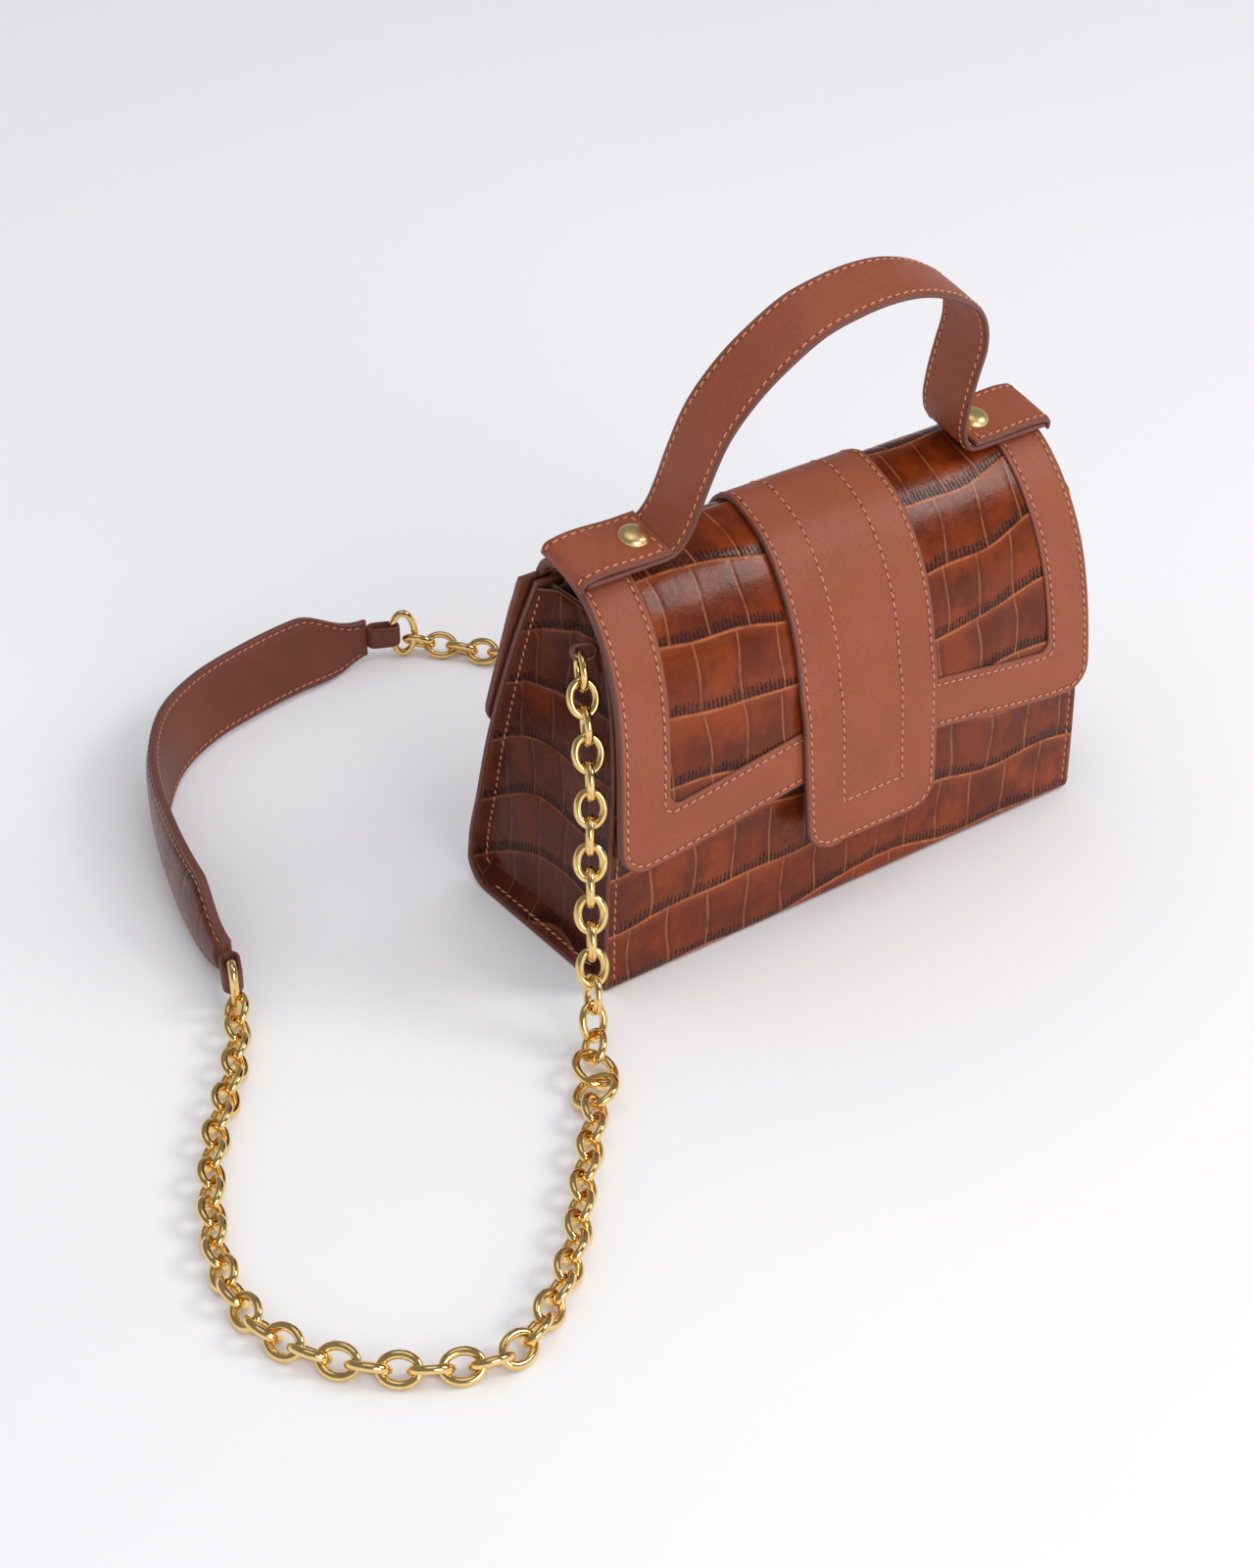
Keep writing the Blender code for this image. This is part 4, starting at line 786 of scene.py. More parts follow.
def make_gusset(side_name, side):
    """One recessed side panel, drawn in towards the base, with its sewn flange."""
    fronts, backs, shares = gusset_ladder()
    grid = np.stack([gusset_section(f, b, side, h) for f, b, h in zip(fronts, backs, shares)])
    last = grid[-1]
    floor_s = np.linspace(BODY_MIDDLE - FLOOR_FRONT, BODY_MIDDLE + FLOOR_BACK, GUSSET_COLUMNS)
    floor_line, floor_n = BODY.surface(side * (BASE_WIDTH / 2 - EDGE_SET), floor_s)
    floor_line = floor_line - floor_n * BOARD_DEPTH
    extra = []
    for t in np.linspace(0.0, 1.0, FLOOR_ROWS)[1:]:
        ease = smooth_step(t)
        row = last * (1 - t) + floor_line * t
        row[:, 0] = last[:, 0] * (1 - ease) + floor_line[:, 0] * ease
        extra.append(row)
    grid = np.concatenate([grid, np.stack(extra)])
    across = np.gradient(grid, axis=1)
    down = np.gradient(grid, axis=0)
    normals = unit(np.cross(across, down))
    normals *= np.where(np.median(normals[..., 0]) * side < 0, -1.0, 1.0)
    y, z = grid[..., 1], grid[..., 2]
    lean = ROW_SLOPE * SLOPE_EASE * np.logaddexp(0.0, (y - SLOPE_START) / SLOPE_EASE)
    layers, relief = croc_maps(y * 1.05 + 40.0 * side, 130.0 - z - lean, seed=23 + side)
    ridge = 0.35 + 0.35 * wander(y, z, seed=31 + side, scale=9.0)
    t = np.linspace(0.0, 1.0, GUSSET_COLUMNS)[None, :]
    middle = np.sin(np.pi * t) ** 0.6
    crease = 0.9 * groove(t - 0.5, 1 / 16) * np.clip((z - 78) / 30, 0, 1)
    relief = relief * middle + ridge * middle * np.clip((z - 10) / 30, 0, 1) - crease
    # the side panel's croc material carries painted shade
    piece = leather_sheet(
        f"side_panel_{side_name}", grid, normals, 1.0, [CROC_PAINTED_SHADE, PAINT, LINING], relief, layers, 0.4
    )
    dress(piece, "bag_body", "croc_leather", f"gusset_{side_name}")
    rows = []
    for column in (4, GUSSET_COLUMNS - 5):
        points = grid[2:-10, column]
        rows.append((points + normals[2:-10, column] * 0.05, normals[2:-10, column]))
    points = grid[-5, 8:-8]
    rows.append((points + normals[-5, 8:-8] * 0.05, normals[-5, 8:-8]))
    sew(f"side_stitches_{side_name}", rows, CROC_THREAD, "bag_body")


make_wrap()
for side_name, side in SIDES:
    make_gusset(side_name, side)


# Flap: croc panel in a smooth border, both sewn to the lining and painted round one thick edge
FLAP_START = HINGE + HINGE_GAP / 2
FLAP_CORNER, WINDOW_CORNER = 9.0, 3.6
BORDER_WIDTH = 17.8
BORDER_THICKNESS, FLAP_THICKNESS = 0.9, 2.9
SEAM_OUT, SEAM_IN = 2.2, 15.6
PANEL_SET = 2.3


def flap_outline(inset, counts):
    """(x, s) down the flap's left side, along its front edge and up the right side, at an inset."""
    corner = max(WINDOW_CORNER, FLAP_CORNER - inset)
    down, turn, half_bottom = counts
    reach = flap_edge(flap_half_width(HINGE + FLAP_LENGTH) - inset - corner) - inset - corner
    s = stations(FLAP_START, reach, (reach - FLAP_START) / down)[:-1]
    s = np.concatenate([s, [reach]])
    side = np.stack([flap_half_width(s) - inset, s], -1)
    low_half = flap_half_width(reach) - inset
    angles = np.radians(90) * np.arange(1, turn) / turn
    arc = np.stack([low_half - corner * (1 - np.cos(angles)), reach + corner * np.sin(angles)], -1)
    x = np.linspace(low_half - corner, 0.0, half_bottom)
    bottom = np.stack([x, flap_edge(x) - inset], -1)
    right = np.concatenate([side, arc, bottom])
    left = right * np.array([-1.0, 1.0])
    return np.concatenate([left, right[-2::-1]])


def make_border():
    """The smooth leather frame, whose outer edge is as thick as the whole flap."""
    insets = np.array([
        0.0, 1.1, 1.5, 1.9, 2.2, 2.5, 2.9, 3.6, 4.6, 6, 7.5, 9, 10.5, 12, 13.4, 14.4, 15.0, 15.4, 15.8,
        16.4, 17.1, BORDER_WIDTH,
    ])
    counts = (130, 14, 90)
    lines = np.stack([flap_outline(c, counts) for c in insets], 1)
    points, normals = FLAP.surface(lines[..., 0], lines[..., 1])
    deep = np.where(insets < 2.0, FLAP_THICKNESS, BORDER_THICKNESS)[None, :] * np.ones(points.shape[:2])
    relief = -0.20 * groove(insets - SEAM_OUT) - 0.20 * groove(insets - SEAM_IN)
    relief = relief + 0.14 * np.sin(np.pi * np.clip((insets - SEAM_OUT) / (SEAM_IN - SEAM_OUT), 0, 1))
    relief = relief[None, :] + 0.07 * wander(lines[..., 0], lines[..., 1], seed=5, scale=7.0)
    piece = leather_sheet("flap_frame", points, normals, deep, SMOOTH_SHEET, relief, rim=0.75)
    dress(piece, "flap", "smooth_leather", "flap_border")
    rows = []
    for inset in (SEAM_OUT, SEAM_IN):
        line = flap_outline(inset, counts)[2:-2]
        rows.append(seam(FLAP, line[:, 0], line[:, 1], -0.1))
    sew("flap_stitches", rows, THREAD, "flap")


def tongue_grid(start, edge, half_width, corner, columns, step):
    """(x, s) over a sheet with two rounded corners at its edge."""
    middle_edge = edge(0.0)
    reach = abs(middle_edge - start)
    rows = stations(0.0, 1.0, step / reach, FIRST_STEP / reach)
    turns = np.radians([16, 32, 46, 58, 66, 73, 79, 85, 90])
    share = np.concatenate([rows[:-2], [1.0], np.ones(len(turns))])
    rise = np.concatenate([np.zeros(len(rows) - 1), np.sin(turns)])
    across = np.array(columns)[None, :]
    way = 1.0 if middle_edge > start else -1.0
    guess = across * half_width(middle_edge)
    reach = edge(guess) - way * corner
    s = start + (reach - start) * share[:, None] + way * corner * rise[:, None]
    draw = corner * (1 - np.sqrt(np.clip(1 - rise**2, 0, 1)))[:, None]
    return across * (half_width(s) - draw), s


def make_panel():
    """The croc panel and the lining under it, set in from the border's edge."""
    inset = PANEL_SET
    columns = stations(-1.0, 1.0, step=0.0094, margin=0.015)
    x, s = tongue_grid(
        FLAP_START, lambda v: flap_edge(v) - inset, lambda v: flap_half_width(v) - inset,
        FLAP_CORNER - inset, columns, step=0.85,
    )
    points, normals = FLAP.surface(x, s)
    points = points - normals * (BORDER_THICKNESS + 0.1)
    layers, relief = croc_maps(x + 1.5, s - HINGE + 9.0, seed=7)
    hidden = flap_half_width(s) - np.abs(x) - BORDER_WIDTH + 1.5
    relief = (relief + 0.25) * np.where(s < HINGE + 30, 1.0, np.clip(hidden / 1.5, 0, 1))
    piece = leather_sheet(
        "flap_panel_croc", points, normals, FLAP_THICKNESS - BORDER_THICKNESS - 0.2, [CROC, PAINT, LINING],
        relief, layers, 0.6,
    )
    dress(piece, "flap", "croc_leather", "flap_panel", "flap_lining")


# Centre tab over the flap
TAB_START, TAB_LENGTH, TAB_CORNER = 0.8, 133.5, 9.0
TAB_THICKNESS, TAB_LOW, TAB_HIGH = 2.0, 1.2, 2.3
TAB_SEAM, TAB_INNER, TAB_INNER_END = 2.1, 11.6, 14.5


def tab_half_width(s):
    """Half the tab's width: a little wider at the front's middle."""
    t = np.clip((np.asarray(s) - HINGE - 4) / 130.0, 0, 1)
    return 25.4 + 1.0 * np.sin(math.pi * t)


def tab_lift(s):
    """How far the tab's face stands over the flap's: it lies on the croc, then climbs over the border."""
    climb = flap_edge(0.0) - BORDER_WIDTH - 12.0
    return TAB_LOW + (TAB_HIGH - TAB_LOW) * smooth_step((np.asarray(s) - climb) / 11.0)


def make_tab():
    """The smooth centre tab with its double stitching."""
    end = HINGE + TAB_LENGTH
    start = HINGE + TAB_START
    columns = stations(-1.0, 1.0, step=0.026, margin=0.045)
    x, s = tongue_grid(start, lambda v: end + 0 * v, tab_half_width, TAB_CORNER, columns, step=0.9)
    points, normals = FLAP.surface(x, s)
    points = points + normals * tab_lift(s)[..., None]
    from_side = tab_half_width(s) - np.abs(x)
    from_end = end - s
    outer = np.minimum(from_side, from_end)
    inner = np.where(from_end > TAB_INNER_END, np.abs(np.abs(x) - TAB_INNER), 99.0)
    inner = np.minimum(inner, np.where(np.abs(x) < TAB_INNER, np.abs(from_end - TAB_INNER_END), 99.0))
    relief = -0.2 * groove(outer - TAB_SEAM) - 0.16 * groove(inner)
    relief += 0.06 * wander(x, s, seed=15, scale=8.0)
    piece = leather_sheet("tab_leather", points, normals, TAB_THICKNESS, SMOOTH_SHEET, relief, rim=0.75)
    dress(piece, "flap", "smooth_leather", "centre_tab", "tab_backing")
    rows = []
    line = np.linspace(start + 2.0, end - TAB_CORNER, 200)
    arc = np.linspace(0, math.pi / 2, 24)[1:]
    radius = TAB_CORNER - TAB_SEAM
    half = tab_half_width(end) - TAB_CORNER
    xs = [tab_half_width(line) - TAB_SEAM, half + radius * np.cos(arc), np.linspace(half, 0, 30)[1:]]
    ss = [line, end - TAB_CORNER + radius * np.sin(arc), np.full(29, end - TAB_SEAM)]
    xs, ss = mirrored(xs, ss)
    rows.append(seam(FLAP, xs, ss, tab_lift(ss) - 0.1))
    line = np.linspace(start + 2.0, end - TAB_INNER_END, 200)
    corner = np.linspace(TAB_INNER, -TAB_INNER, 60)
    xs = np.concatenate([np.full(200, TAB_INNER), corner, np.full(200, -TAB_INNER)])
    ss = np.concatenate([line, np.full(60, end - TAB_INNER_END), line[::-1]])
    rows.append(seam(FLAP, xs, ss, tab_lift(ss) - 0.08))
    sew("tab_stitches", rows, THREAD, "flap")


make_border()
make_panel()
make_tab()


# Handle: strap, top tabs and rivets, square to a plane that leans forward
HANDLE_TILT = math.radians(14.0)
HANDLE_ORIGIN = np.array([0.0, 0.4, 132.6])
HANDLE_UP = np.array([0.0, -math.sin(HANDLE_TILT), math.cos(HANDLE_TILT)])
HANDLE_ACROSS = np.array([0.0, -math.cos(HANDLE_TILT), -math.sin(HANDLE_TILT)])
HANDLE_WIDTH, HANDLE_THICKNESS, HANDLE_HEIGHT, HANDLE_SPREAD = 20.5, 1.7, 71.3, 50.7
FOOT_END, CREASE, CREASE_BEND = 87.2, 60.0, 4.5
HANDLE_SHARES = [
    (-1.125, 0.032), (-1.075, 0.080), (-1.035, 0.175), (-0.990, 0.343), (-0.907, 0.550),
    (-0.736, 0.729), (-0.545, 0.850), (-0.343, 0.940), (-0.126, 0.982), (0.097, 1.000),
    (0.341, 0.985), (0.533, 0.942), (0.712, 0.877), (0.860, 0.799), (0.958, 0.691), (1.000, 0.585),
    (0.998, 0.424), (1.002, 0.269), (1.030, 0.140), (1.075, 0.070), (1.125, 0.032),
]
TOP_TAB_THICKNESS, TOP_TAB_TURN, TOP_TAB_DROP, TOP_TAB_OUT, COVER_REACH = 1.5, 3.0, 4.5, 89.8, 2.2
RIVET_PLACE, RIVET_RADIUS, RIVET_DOME = 65.0, 4.9, 2.7
HANDLE_SEAMS = (2.0, HANDLE_WIDTH - 2.0)
TOP_TAB_FACE = HANDLE_THICKNESS + CLEARANCE + TOP_TAB_THICKNESS


def handle_space(x, height, across):
    """Places in the handle's frame: along X, above its seat, forward from its back edge."""
    x, height, across = np.broadcast_arrays(x, height, across)
    return (
        HANDLE_ORIGIN + x[..., None] * np.array([1.0, 0.0, 0.0]) + height[..., None] * HANDLE_UP
        + across[..., None] * HANDLE_ACROSS
    )


def ribbon_face(route, s, across):
    """Points and outward normals on a ribbon's outer face."""
    place, slope = route.at(s), route.tangent(s)
    points = handle_space(place[..., 0], place[..., 1], across)
    out = -slope[..., 1, None] * np.array([1.0, 0.0, 0.0]) + slope[..., 0, None] * HANDLE_UP
    return points, np.broadcast_to(out, points.shape)


def ribbon(name, route, s, thickness, materials, rim, both=False):
    """A strap of the handle's width along a route in (x, height), pressed in at its seams."""
    across = stations(0.0, HANDLE_WIDTH, step=0.8, margin=1.0)
    s_grid, a_grid = np.meshgrid(s, across, indexing="ij")
    points, normals = ribbon_face(route, s_grid, a_grid)
    relief = np.zeros(s_grid.shape)
    for seam_place in HANDLE_SEAMS:
        relief -= 0.16 * groove(a_grid - seam_place)
    puff = 0.22 * np.sin(np.pi * np.clip(a_grid / HANDLE_WIDTH, 0, 1)) ** 0.7
    relief += puff + 0.05 * wander(s_grid, a_grid, seed=41, scale=8.0)
    back = relief * 0.8 if both else None
    return leather_sheet(name, points, normals, thickness, materials, relief, rim=rim, back=back)


def make_strap():
    """The handle: one strap from foot to foot over the arch, sewn along both edges."""
    foot = [(x, HANDLE_THICKNESS) for x in (FOOT_END, CREASE + CREASE_BEND, CREASE)]
    arch = [(x * HANDLE_SPREAD, h * HANDLE_HEIGHT) for x, h in HANDLE_SHARES]
    route = Curve([(-x, h) for x, h in foot] + arch + foot[::-1])
    s = stations(0.0, route.length, step=0.9, margin=1.0)
    piece = ribbon("handle_band", route, s, HANDLE_THICKNESS, [LEATHER, PAINT, LEATHER], 0.8, True)
    dress(piece, "flap", "smooth_leather", "handle_strap")
    line = np.linspace(20.0, route.length - 20.0, 900)
    rows = []
    for across in HANDLE_SEAMS:
        points, normals = ribbon_face(route, line, across)
        rows.append((points - normals * 0.02, normals))
        rows.append((points - normals * (HANDLE_THICKNESS - 0.02), -normals))
    sew("handle_stitches", rows, THREAD, "flap")


def top_tab_route(side):
    """A top tab's outer face from its turned-down end to its crease."""
    points = [(TOP_TAB_OUT, TOP_TAB_FACE - TOP_TAB_DROP)]
    for k in range(4):
        turn = math.radians(30 * k)
        height = TOP_TAB_FACE - TOP_TAB_TURN * (1 - math.sin(turn))
        points.append((TOP_TAB_OUT - TOP_TAB_TURN * (1 - math.cos(turn)), height))
    points += [(RIVET_PLACE, TOP_TAB_FACE), (CREASE - COVER_REACH, TOP_TAB_FACE + 0.1)]
    return Curve(points[::-1] if side > 0 else [(-x, h) for x, h in points])


RIVET_PROFILE = [
    (1.0, 0.0), (1.0, 0.16), (0.97, 0.32), (0.88, 0.55), (0.74, 0.74), (0.55, 0.88), (0.3, 0.97), (0.0, 1.0),
]


def add_turned(name, body, node, profile, base, up, sides=48):
    """A gold piece turned about an axis from a profile of radii and heights, whose last ring is its top."""
    side = unit(np.cross(up, np.array([0.3, 0.9, 0.1])))
    front = np.cross(up, side)
    turns = 2 * np.pi * np.arange(sides) / sides
    verts = [
        base + up * height + radius * (np.cos(turns)[:, None] * side + np.sin(turns)[:, None] * front)
        for radius, height in profile
    ]
    faces = tube_quads(len(profile), sides, closed=False, flipped=True) + [list(range(sides))[::-1]]
    dress(new_mesh(name, np.concatenate(verts), faces, [SATIN_GOLD]), body, "gold", node)


def make_top_tab(side_name, side):
    """One end of the handle: its sewn cover and its domed rivet."""
    route = top_tab_route(side)
    s = stations(0.0, route.length, step=0.8, margin=1.0)
    piece = ribbon(f"top_cover_{side_name}", route, s, TOP_TAB_THICKNESS, SMOOTH_SHEET, 0.7)
    dress(piece, "flap", "smooth_leather", f"handle_tab_{side_name}")
    rows = []
    crease_s = 2.6 if side > 0 else route.length - 2.6
    end_s = route.length - 2.0 if side > 0 else 2.0
    line = np.linspace(min(crease_s, end_s), max(crease_s, end_s), 160)
    for across in HANDLE_SEAMS:
        points, normals = ribbon_face(route, line, across)
        rows.append((points - normals * 0.02, normals))
    across = np.linspace(*HANDLE_SEAMS, 60)
    points, normals = ribbon_face(route, np.full(60, crease_s), across)
    rows.append((points + normals * 0.1, normals))
    sew(f"top_stitches_{side_name}", rows, THREAD, "flap")
    base = handle_space(side * RIVET_PLACE, TOP_TAB_FACE, HANDLE_WIDTH / 2)
    profile = [(r * RIVET_RADIUS, h * (RIVET_DOME + 0.1) + 0.05) for r, h in RIVET_PROFILE]
    add_turned(f"dome_rivet_{side_name}", "flap", f"handle_rivet_{side_name}", profile, base, HANDLE_UP)


# Rear yoke: the smooth panel on the back that carries the flap
YOKE_WIDTH, YOKE_CORNER, YOKE_THICKNESS = 188.0, 11.0, 2.0


def make_yoke():
    """The yoke's sheet, sewn down both sides and along its lower edge."""
    columns = stations(-1.0, 1.0, step=0.0094, margin=0.0125)
    start = HINGE - HINGE_GAP / 2
    x, s = tongue_grid(start, lambda v: 0 * v, lambda v: YOKE_WIDTH / 2 + 0 * v, YOKE_CORNER, columns,
                       step=0.9)
    points, normals = FLAP.surface(x, s)
    inset = np.minimum(YOKE_WIDTH / 2 - np.abs(x), np.maximum(s, 0.0))
    relief = -0.2 * groove(inset - SEAM_OUT) + 0.07 * wander(x, s, seed=51, scale=9.0)
    piece = leather_sheet("yoke_leather", points, normals, YOKE_THICKNESS, SMOOTH_SHEET, relief)
    dress(piece, "bag_body", "smooth_leather", "rear_yoke")
    arc = np.linspace(0, math.pi / 2, 24)[1:]
    radius = YOKE_CORNER - SEAM_OUT
    half = YOKE_WIDTH / 2 - YOKE_CORNER
    line = np.linspace(HINGE - 2.5, YOKE_CORNER, 160)
    xs = [np.full(160, half + radius), half + radius * np.cos(arc), np.linspace(half, 0, 60)[1:]]
    ss = [line, YOKE_CORNER - radius * np.sin(arc), np.full(59, SEAM_OUT)]
    xs, ss = mirrored(xs, ss)
    sew("yoke_stitches", [seam(FLAP, xs, ss, -0.1)], THREAD, "bag_body")


make_strap()
for side_name, side in SIDES:
    make_top_tab(side_name, side)
make_yoke()


# Chain strap: oval links, rings, and the shoulder pad with its loops
BAG_SIDE = BASE_WIDTH / 2
WIRE, LINK_WIDTH, LINK_PITCH, LINK_WELD = 2.5, 10.1, 7.95, 0.28
LINK_LENGTH = LINK_PITCH - LINK_WELD + 2 * WIRE
HANGING_LINKS, RUN_LINKS = 14, 7
LINK_ROLL, RING_ROLL = math.radians(45.0), math.radians(25.0)
PAD_RING_HEIGHT, PAD_RING_LENGTH, PAD_RING_PLAY = 18.5, 11.0, 0.8
CONNECTOR_RING, RING_WIRE, RING_DETAIL = 15.0, 2.6, (64, 16)
UPRIGHT = np.array([0.0, 0.0, 1.0])
# X counts from the left or right side of the base
LEFT_ROUTE = [
    (2.7, -23.8, 96.5), (0.7, -28.4, 86.0), (-3.2, -35.2, 68.0), (-7.5, -40.7, 50.0), (-11.5, -46.7, 32.0),
    (-15.3, -52.5, 16.5), (-19.3, -58.3, 7.4), (-24.0, -65.5, 4.9), (-37.0, -83.5, 4.4),
    (-56.0, -105.0, 4.1), (-75.5, -127.0, 4.1), (-90.0, -138.5, 4.1), (-108.0, -146.5, 4.1),
    (-125.0, -140.5, 4.1), (-143.0, -125.0, 4.1), (-154.0, -103.0, 4.1), (-152.5, -79.0, 4.1),
    (-142.5, -54.0, 4.1), (-128.0, -30.0, 4.1), (-108.0, -5.0, 4.1), (-97.5, 12.0, 4.6),
    (-92.2, 23.5, 7.8), (-89.0, 35.0, 9.5),
]
RIGHT_ROUTE = [
    (-2.5, -23.2, 96.5), (-0.7, -26.2, 86.0), (2.8, -26.8, 68.0), (6.5, -22.2, 50.0), (10.0, -14.2, 32.0),
    (13.8, -3.6, 16.5), (17.5, 6.0, 7.8), (22.5, 16.0, 4.9), (32.0, 32.0, 4.4), (38.5, 55.0, 4.1),
    (34.5, 79.0, 4.1), (17.0, 93.5, 4.1),
]
REAR_ROUTE = [
    (183.0, 87.0, 4.1), (157.0, 78.0, 4.1), (130.0, 85.0, 4.1), (110.0, 102.0, 4.1), (94.0, 124.0, 4.1),
    (79.0, 145.0, 4.1), (66.0, 161.0, 4.6), (55.5, 167.0, 7.8), (44.0, 170.0, 9.5),
]
PAD_ROUTE = [
    (-86.2, 48.0), (-82.5, 68.0), (-76.5, 90.0), (-69.0, 111.0), (-58.5, 131.0), (-44.5, 147.5),
    (-27.0, 158.5), (-6.0, 165.5), (16.0, 170.0), (33.0, 171.0),
]


def from_side(points, side):
    """Places whose X counted from one side of the base."""
    return [(side * BAG_SIDE + x, *rest) for x, *rest in points]


def side_at(along, roll):
    """A link's side direction: level across the strap, rolled about it."""
    level = unit(np.cross(along, UPRIGHT))
    return unit(level * math.cos(roll) - np.cross(level, along) * math.sin(roll))


def wire_loop(centre, along, side, length, width, wire, major=44, minor=14):
    """Points and faces of one closed oval of round wire."""
    face = np.cross(along, side)
    turn = 2 * np.pi * np.arange(major) / major
    c, s = np.cos(turn)[:, None], np.sin(turn)[:, None]
    long_half, wide_half = (length - wire) / 2, (width - wire) / 2
    place = centre + along * (long_half * c) + side * (wide_half * s)
    out = unit(along * (wide_half * c) + side * (long_half * s))
    roll = 2 * np.pi * np.arange(minor) / minor
    ring = out[:, None, :] * np.cos(roll)[None, :, None] + face * np.sin(roll)[None, :, None]
    verts = (place[:, None, :] + ring * wire / 2).reshape(-1, 3)
    return verts, tube_quads(major, minor)


def join(parts):
    """One set of points and faces from several."""
    verts, faces, total = [], [], 0
    for points, polygons in parts:
        verts.append(points)
        faces += [[total + v for v in polygon] for polygon in polygons]
        total += len(points)
    return np.concatenate(verts), faces


def metal_piece(name, parts, node):
    """An object of gold loops that stands for one node of the body."""
    dress(new_mesh(name, *join(parts), [GOLD]), "bag_body", "gold", node)


def link_at(route, place, roll):
    """One link at a length along a route, rolled about the strand."""
    along = route.tangent(place)
    return wire_loop(route.at(place), along, side_at(along, roll), LINK_LENGTH, LINK_WIDTH, WIRE)


def hanging_roll(n):
    """The turn of a hanging link: square to its neighbours, eased where the strand lands."""
    ease = float(smooth_step((n / HANGING_LINKS - 0.6) / 0.35))
    return (math.pi / 2 if n % 2 else 0.0) - LINK_ROLL * ease


def add_strand(label, route, start, count, run_size, roll_at):
    """Links in the same runs and places as the strap's nodes; returns the last link's place."""
    place, run = start, []
    for n in range(count):
        joined = n % run_size > 0
        if n:
            place += LINK_LENGTH - 2 * WIRE + (LINK_WELD if joined else -CLEARANCE)
        wire = link_at(route, place, roll_at(n))
        run = run + [wire] if joined else [wire]
        if n % run_size == run_size - 1 or n == count - 1:
            number = n // run_size + 1
            metal_piece(f"links_{label}_{number}", run, f"chain_{label}_{number}")
    return place


def make_strand(side_name, points):
    """All links and rings of one strand; returns its top and its pad ring, each with its direction."""
    route = Curve(points)
    place = add_strand(f"{side_name}_hanging", route, 0.0, HANGING_LINKS, RUN_LINKS, hanging_roll)
    reach = LINK_LENGTH / 2 - WIRE
    ring_reach = CONNECTOR_RING / 2 - RING_WIRE
    last = reach
    for level, roll in (("upper", -RING_ROLL), ("lower", RING_ROLL)):
        place += last + ring_reach - CLEARANCE
        along = route.tangent(place)
        ring = wire_loop(
            route.at(place), along, side_at(along, roll), CONNECTOR_RING, CONNECTOR_RING, RING_WIRE,
            *RING_DETAIL,
        )
        node = f"connector_ring_{side_name}_{level}"
        metal_piece(f"join_ring_{side_name}_{level}", [ring], node)
        last = ring_reach
    count = round((route.length - PAD_RING_LENGTH - place - last) / LINK_PITCH)
    run_size = math.ceil(count / math.ceil(count / RUN_LINKS))
    place = add_strand(
        f"{side_name}_floor", route, place + last + reach - CLEARANCE, count, run_size,
        lambda n: LINK_ROLL * (1 if n % 2 else -1),
    )
    place += reach + PAD_RING_LENGTH / 2 - RING_WIRE - PAD_RING_PLAY
    return (route.at(0.0), route.tangent(0.0)), (route.at(place), route.tangent(place))


# A band's section, rounded at its outer edges: shares of its width and its thickness
BAND_SECTION = [
    (-0.5, 0.0), (-0.5, 0.35), (-0.44, 0.85), (-0.32, 1.0), (0.32, 1.0), (0.44, 0.85), (0.5, 0.35),
    (0.5, 0.0),
]


def leather_band(name, centre, along, across, half_length, eye, thickness, width, node, mat):
    """A closed loop of leather round a wire."""
    outward = unit(np.cross(along, across))
    profile = []
    for end, first in ((1, -90.0), (-1, 90.0)):
        for turn in np.radians(np.linspace(first, first + 180.0, 15)):
            profile.append((end * half_length, math.cos(turn), math.sin(turn)))
    rings = []
    for middle, c, s in profile:
        radial = along * c + outward * s
        base = centre + along * middle
        rings.append([base + radial * (eye + thickness * h) + across * (width * w) for w, h in BAND_SECTION])
    faces = tube_quads(len(rings), len(BAND_SECTION), flipped=True)
    piece = new_mesh(name, np.array(rings).reshape(-1, 3), faces, [mat])
    dress(piece, "bag_body", "smooth_leather", node)


ANCHOR_RING, ANCHOR_WIRE = 13.0, 2.2
LOOP_WIDTH, LOOP_THICKNESS, LOOP_LENGTH, LOOP_EYE = 3.4, 0.9, 2.6, 1.8


def make_anchor(side_name, first_link, down):
    """The ring that carries a strand and its leather loop on the side panel."""
    middle = first_link - down * (LINK_LENGTH / 2 - WIRE + ANCHOR_RING / 2 - ANCHOR_WIRE - CLEARANCE)
    across = side_at(down, math.pi / 2)
    ring = wire_loop(middle, down, across, ANCHOR_RING, ANCHOR_RING, ANCHOR_WIRE, *RING_DETAIL)
    metal_piece(f"side_ring_{side_name}", [ring], f"anchor_ring_{side_name}")
    top_wire = middle - down * (ANCHOR_RING - ANCHOR_WIRE) / 2
    outwards = unit(np.cross(down, across))
    if outwards[0] * first_link[0] < 0:
        outwards = -outwards
    leather_band(
        f"side_loop_{side_name}", top_wire - outwards * LOOP_LENGTH / 2, outwards, across, LOOP_LENGTH / 2,
        LOOP_EYE, LOOP_THICKNESS, LOOP_WIDTH, f"anchor_loop_{side_name}", PAINT,
    )


PAD_WIDTH, PAD_END_WIDTH, PAD_TAPER, PAD_THICKNESS, PAD_CROWN, PAD_BACKING = 25.0, 14.0, 26.0, 1.2, 2.2, 1.2
PAD_LOOP_WIDTH, PAD_LOOP_EYE, PAD_SET, PAD_LOOP_LENGTH, PAD_LOOP_THICKNESS = 8.0, 2.2, 0.05, 6.0, 1.0
PAD_LEAN_FAR, PAD_LEAN_NEAR, PAD_LIFT = math.radians(26.0), math.radians(-8.0), 0.7
PAD_SEAM = 2.0


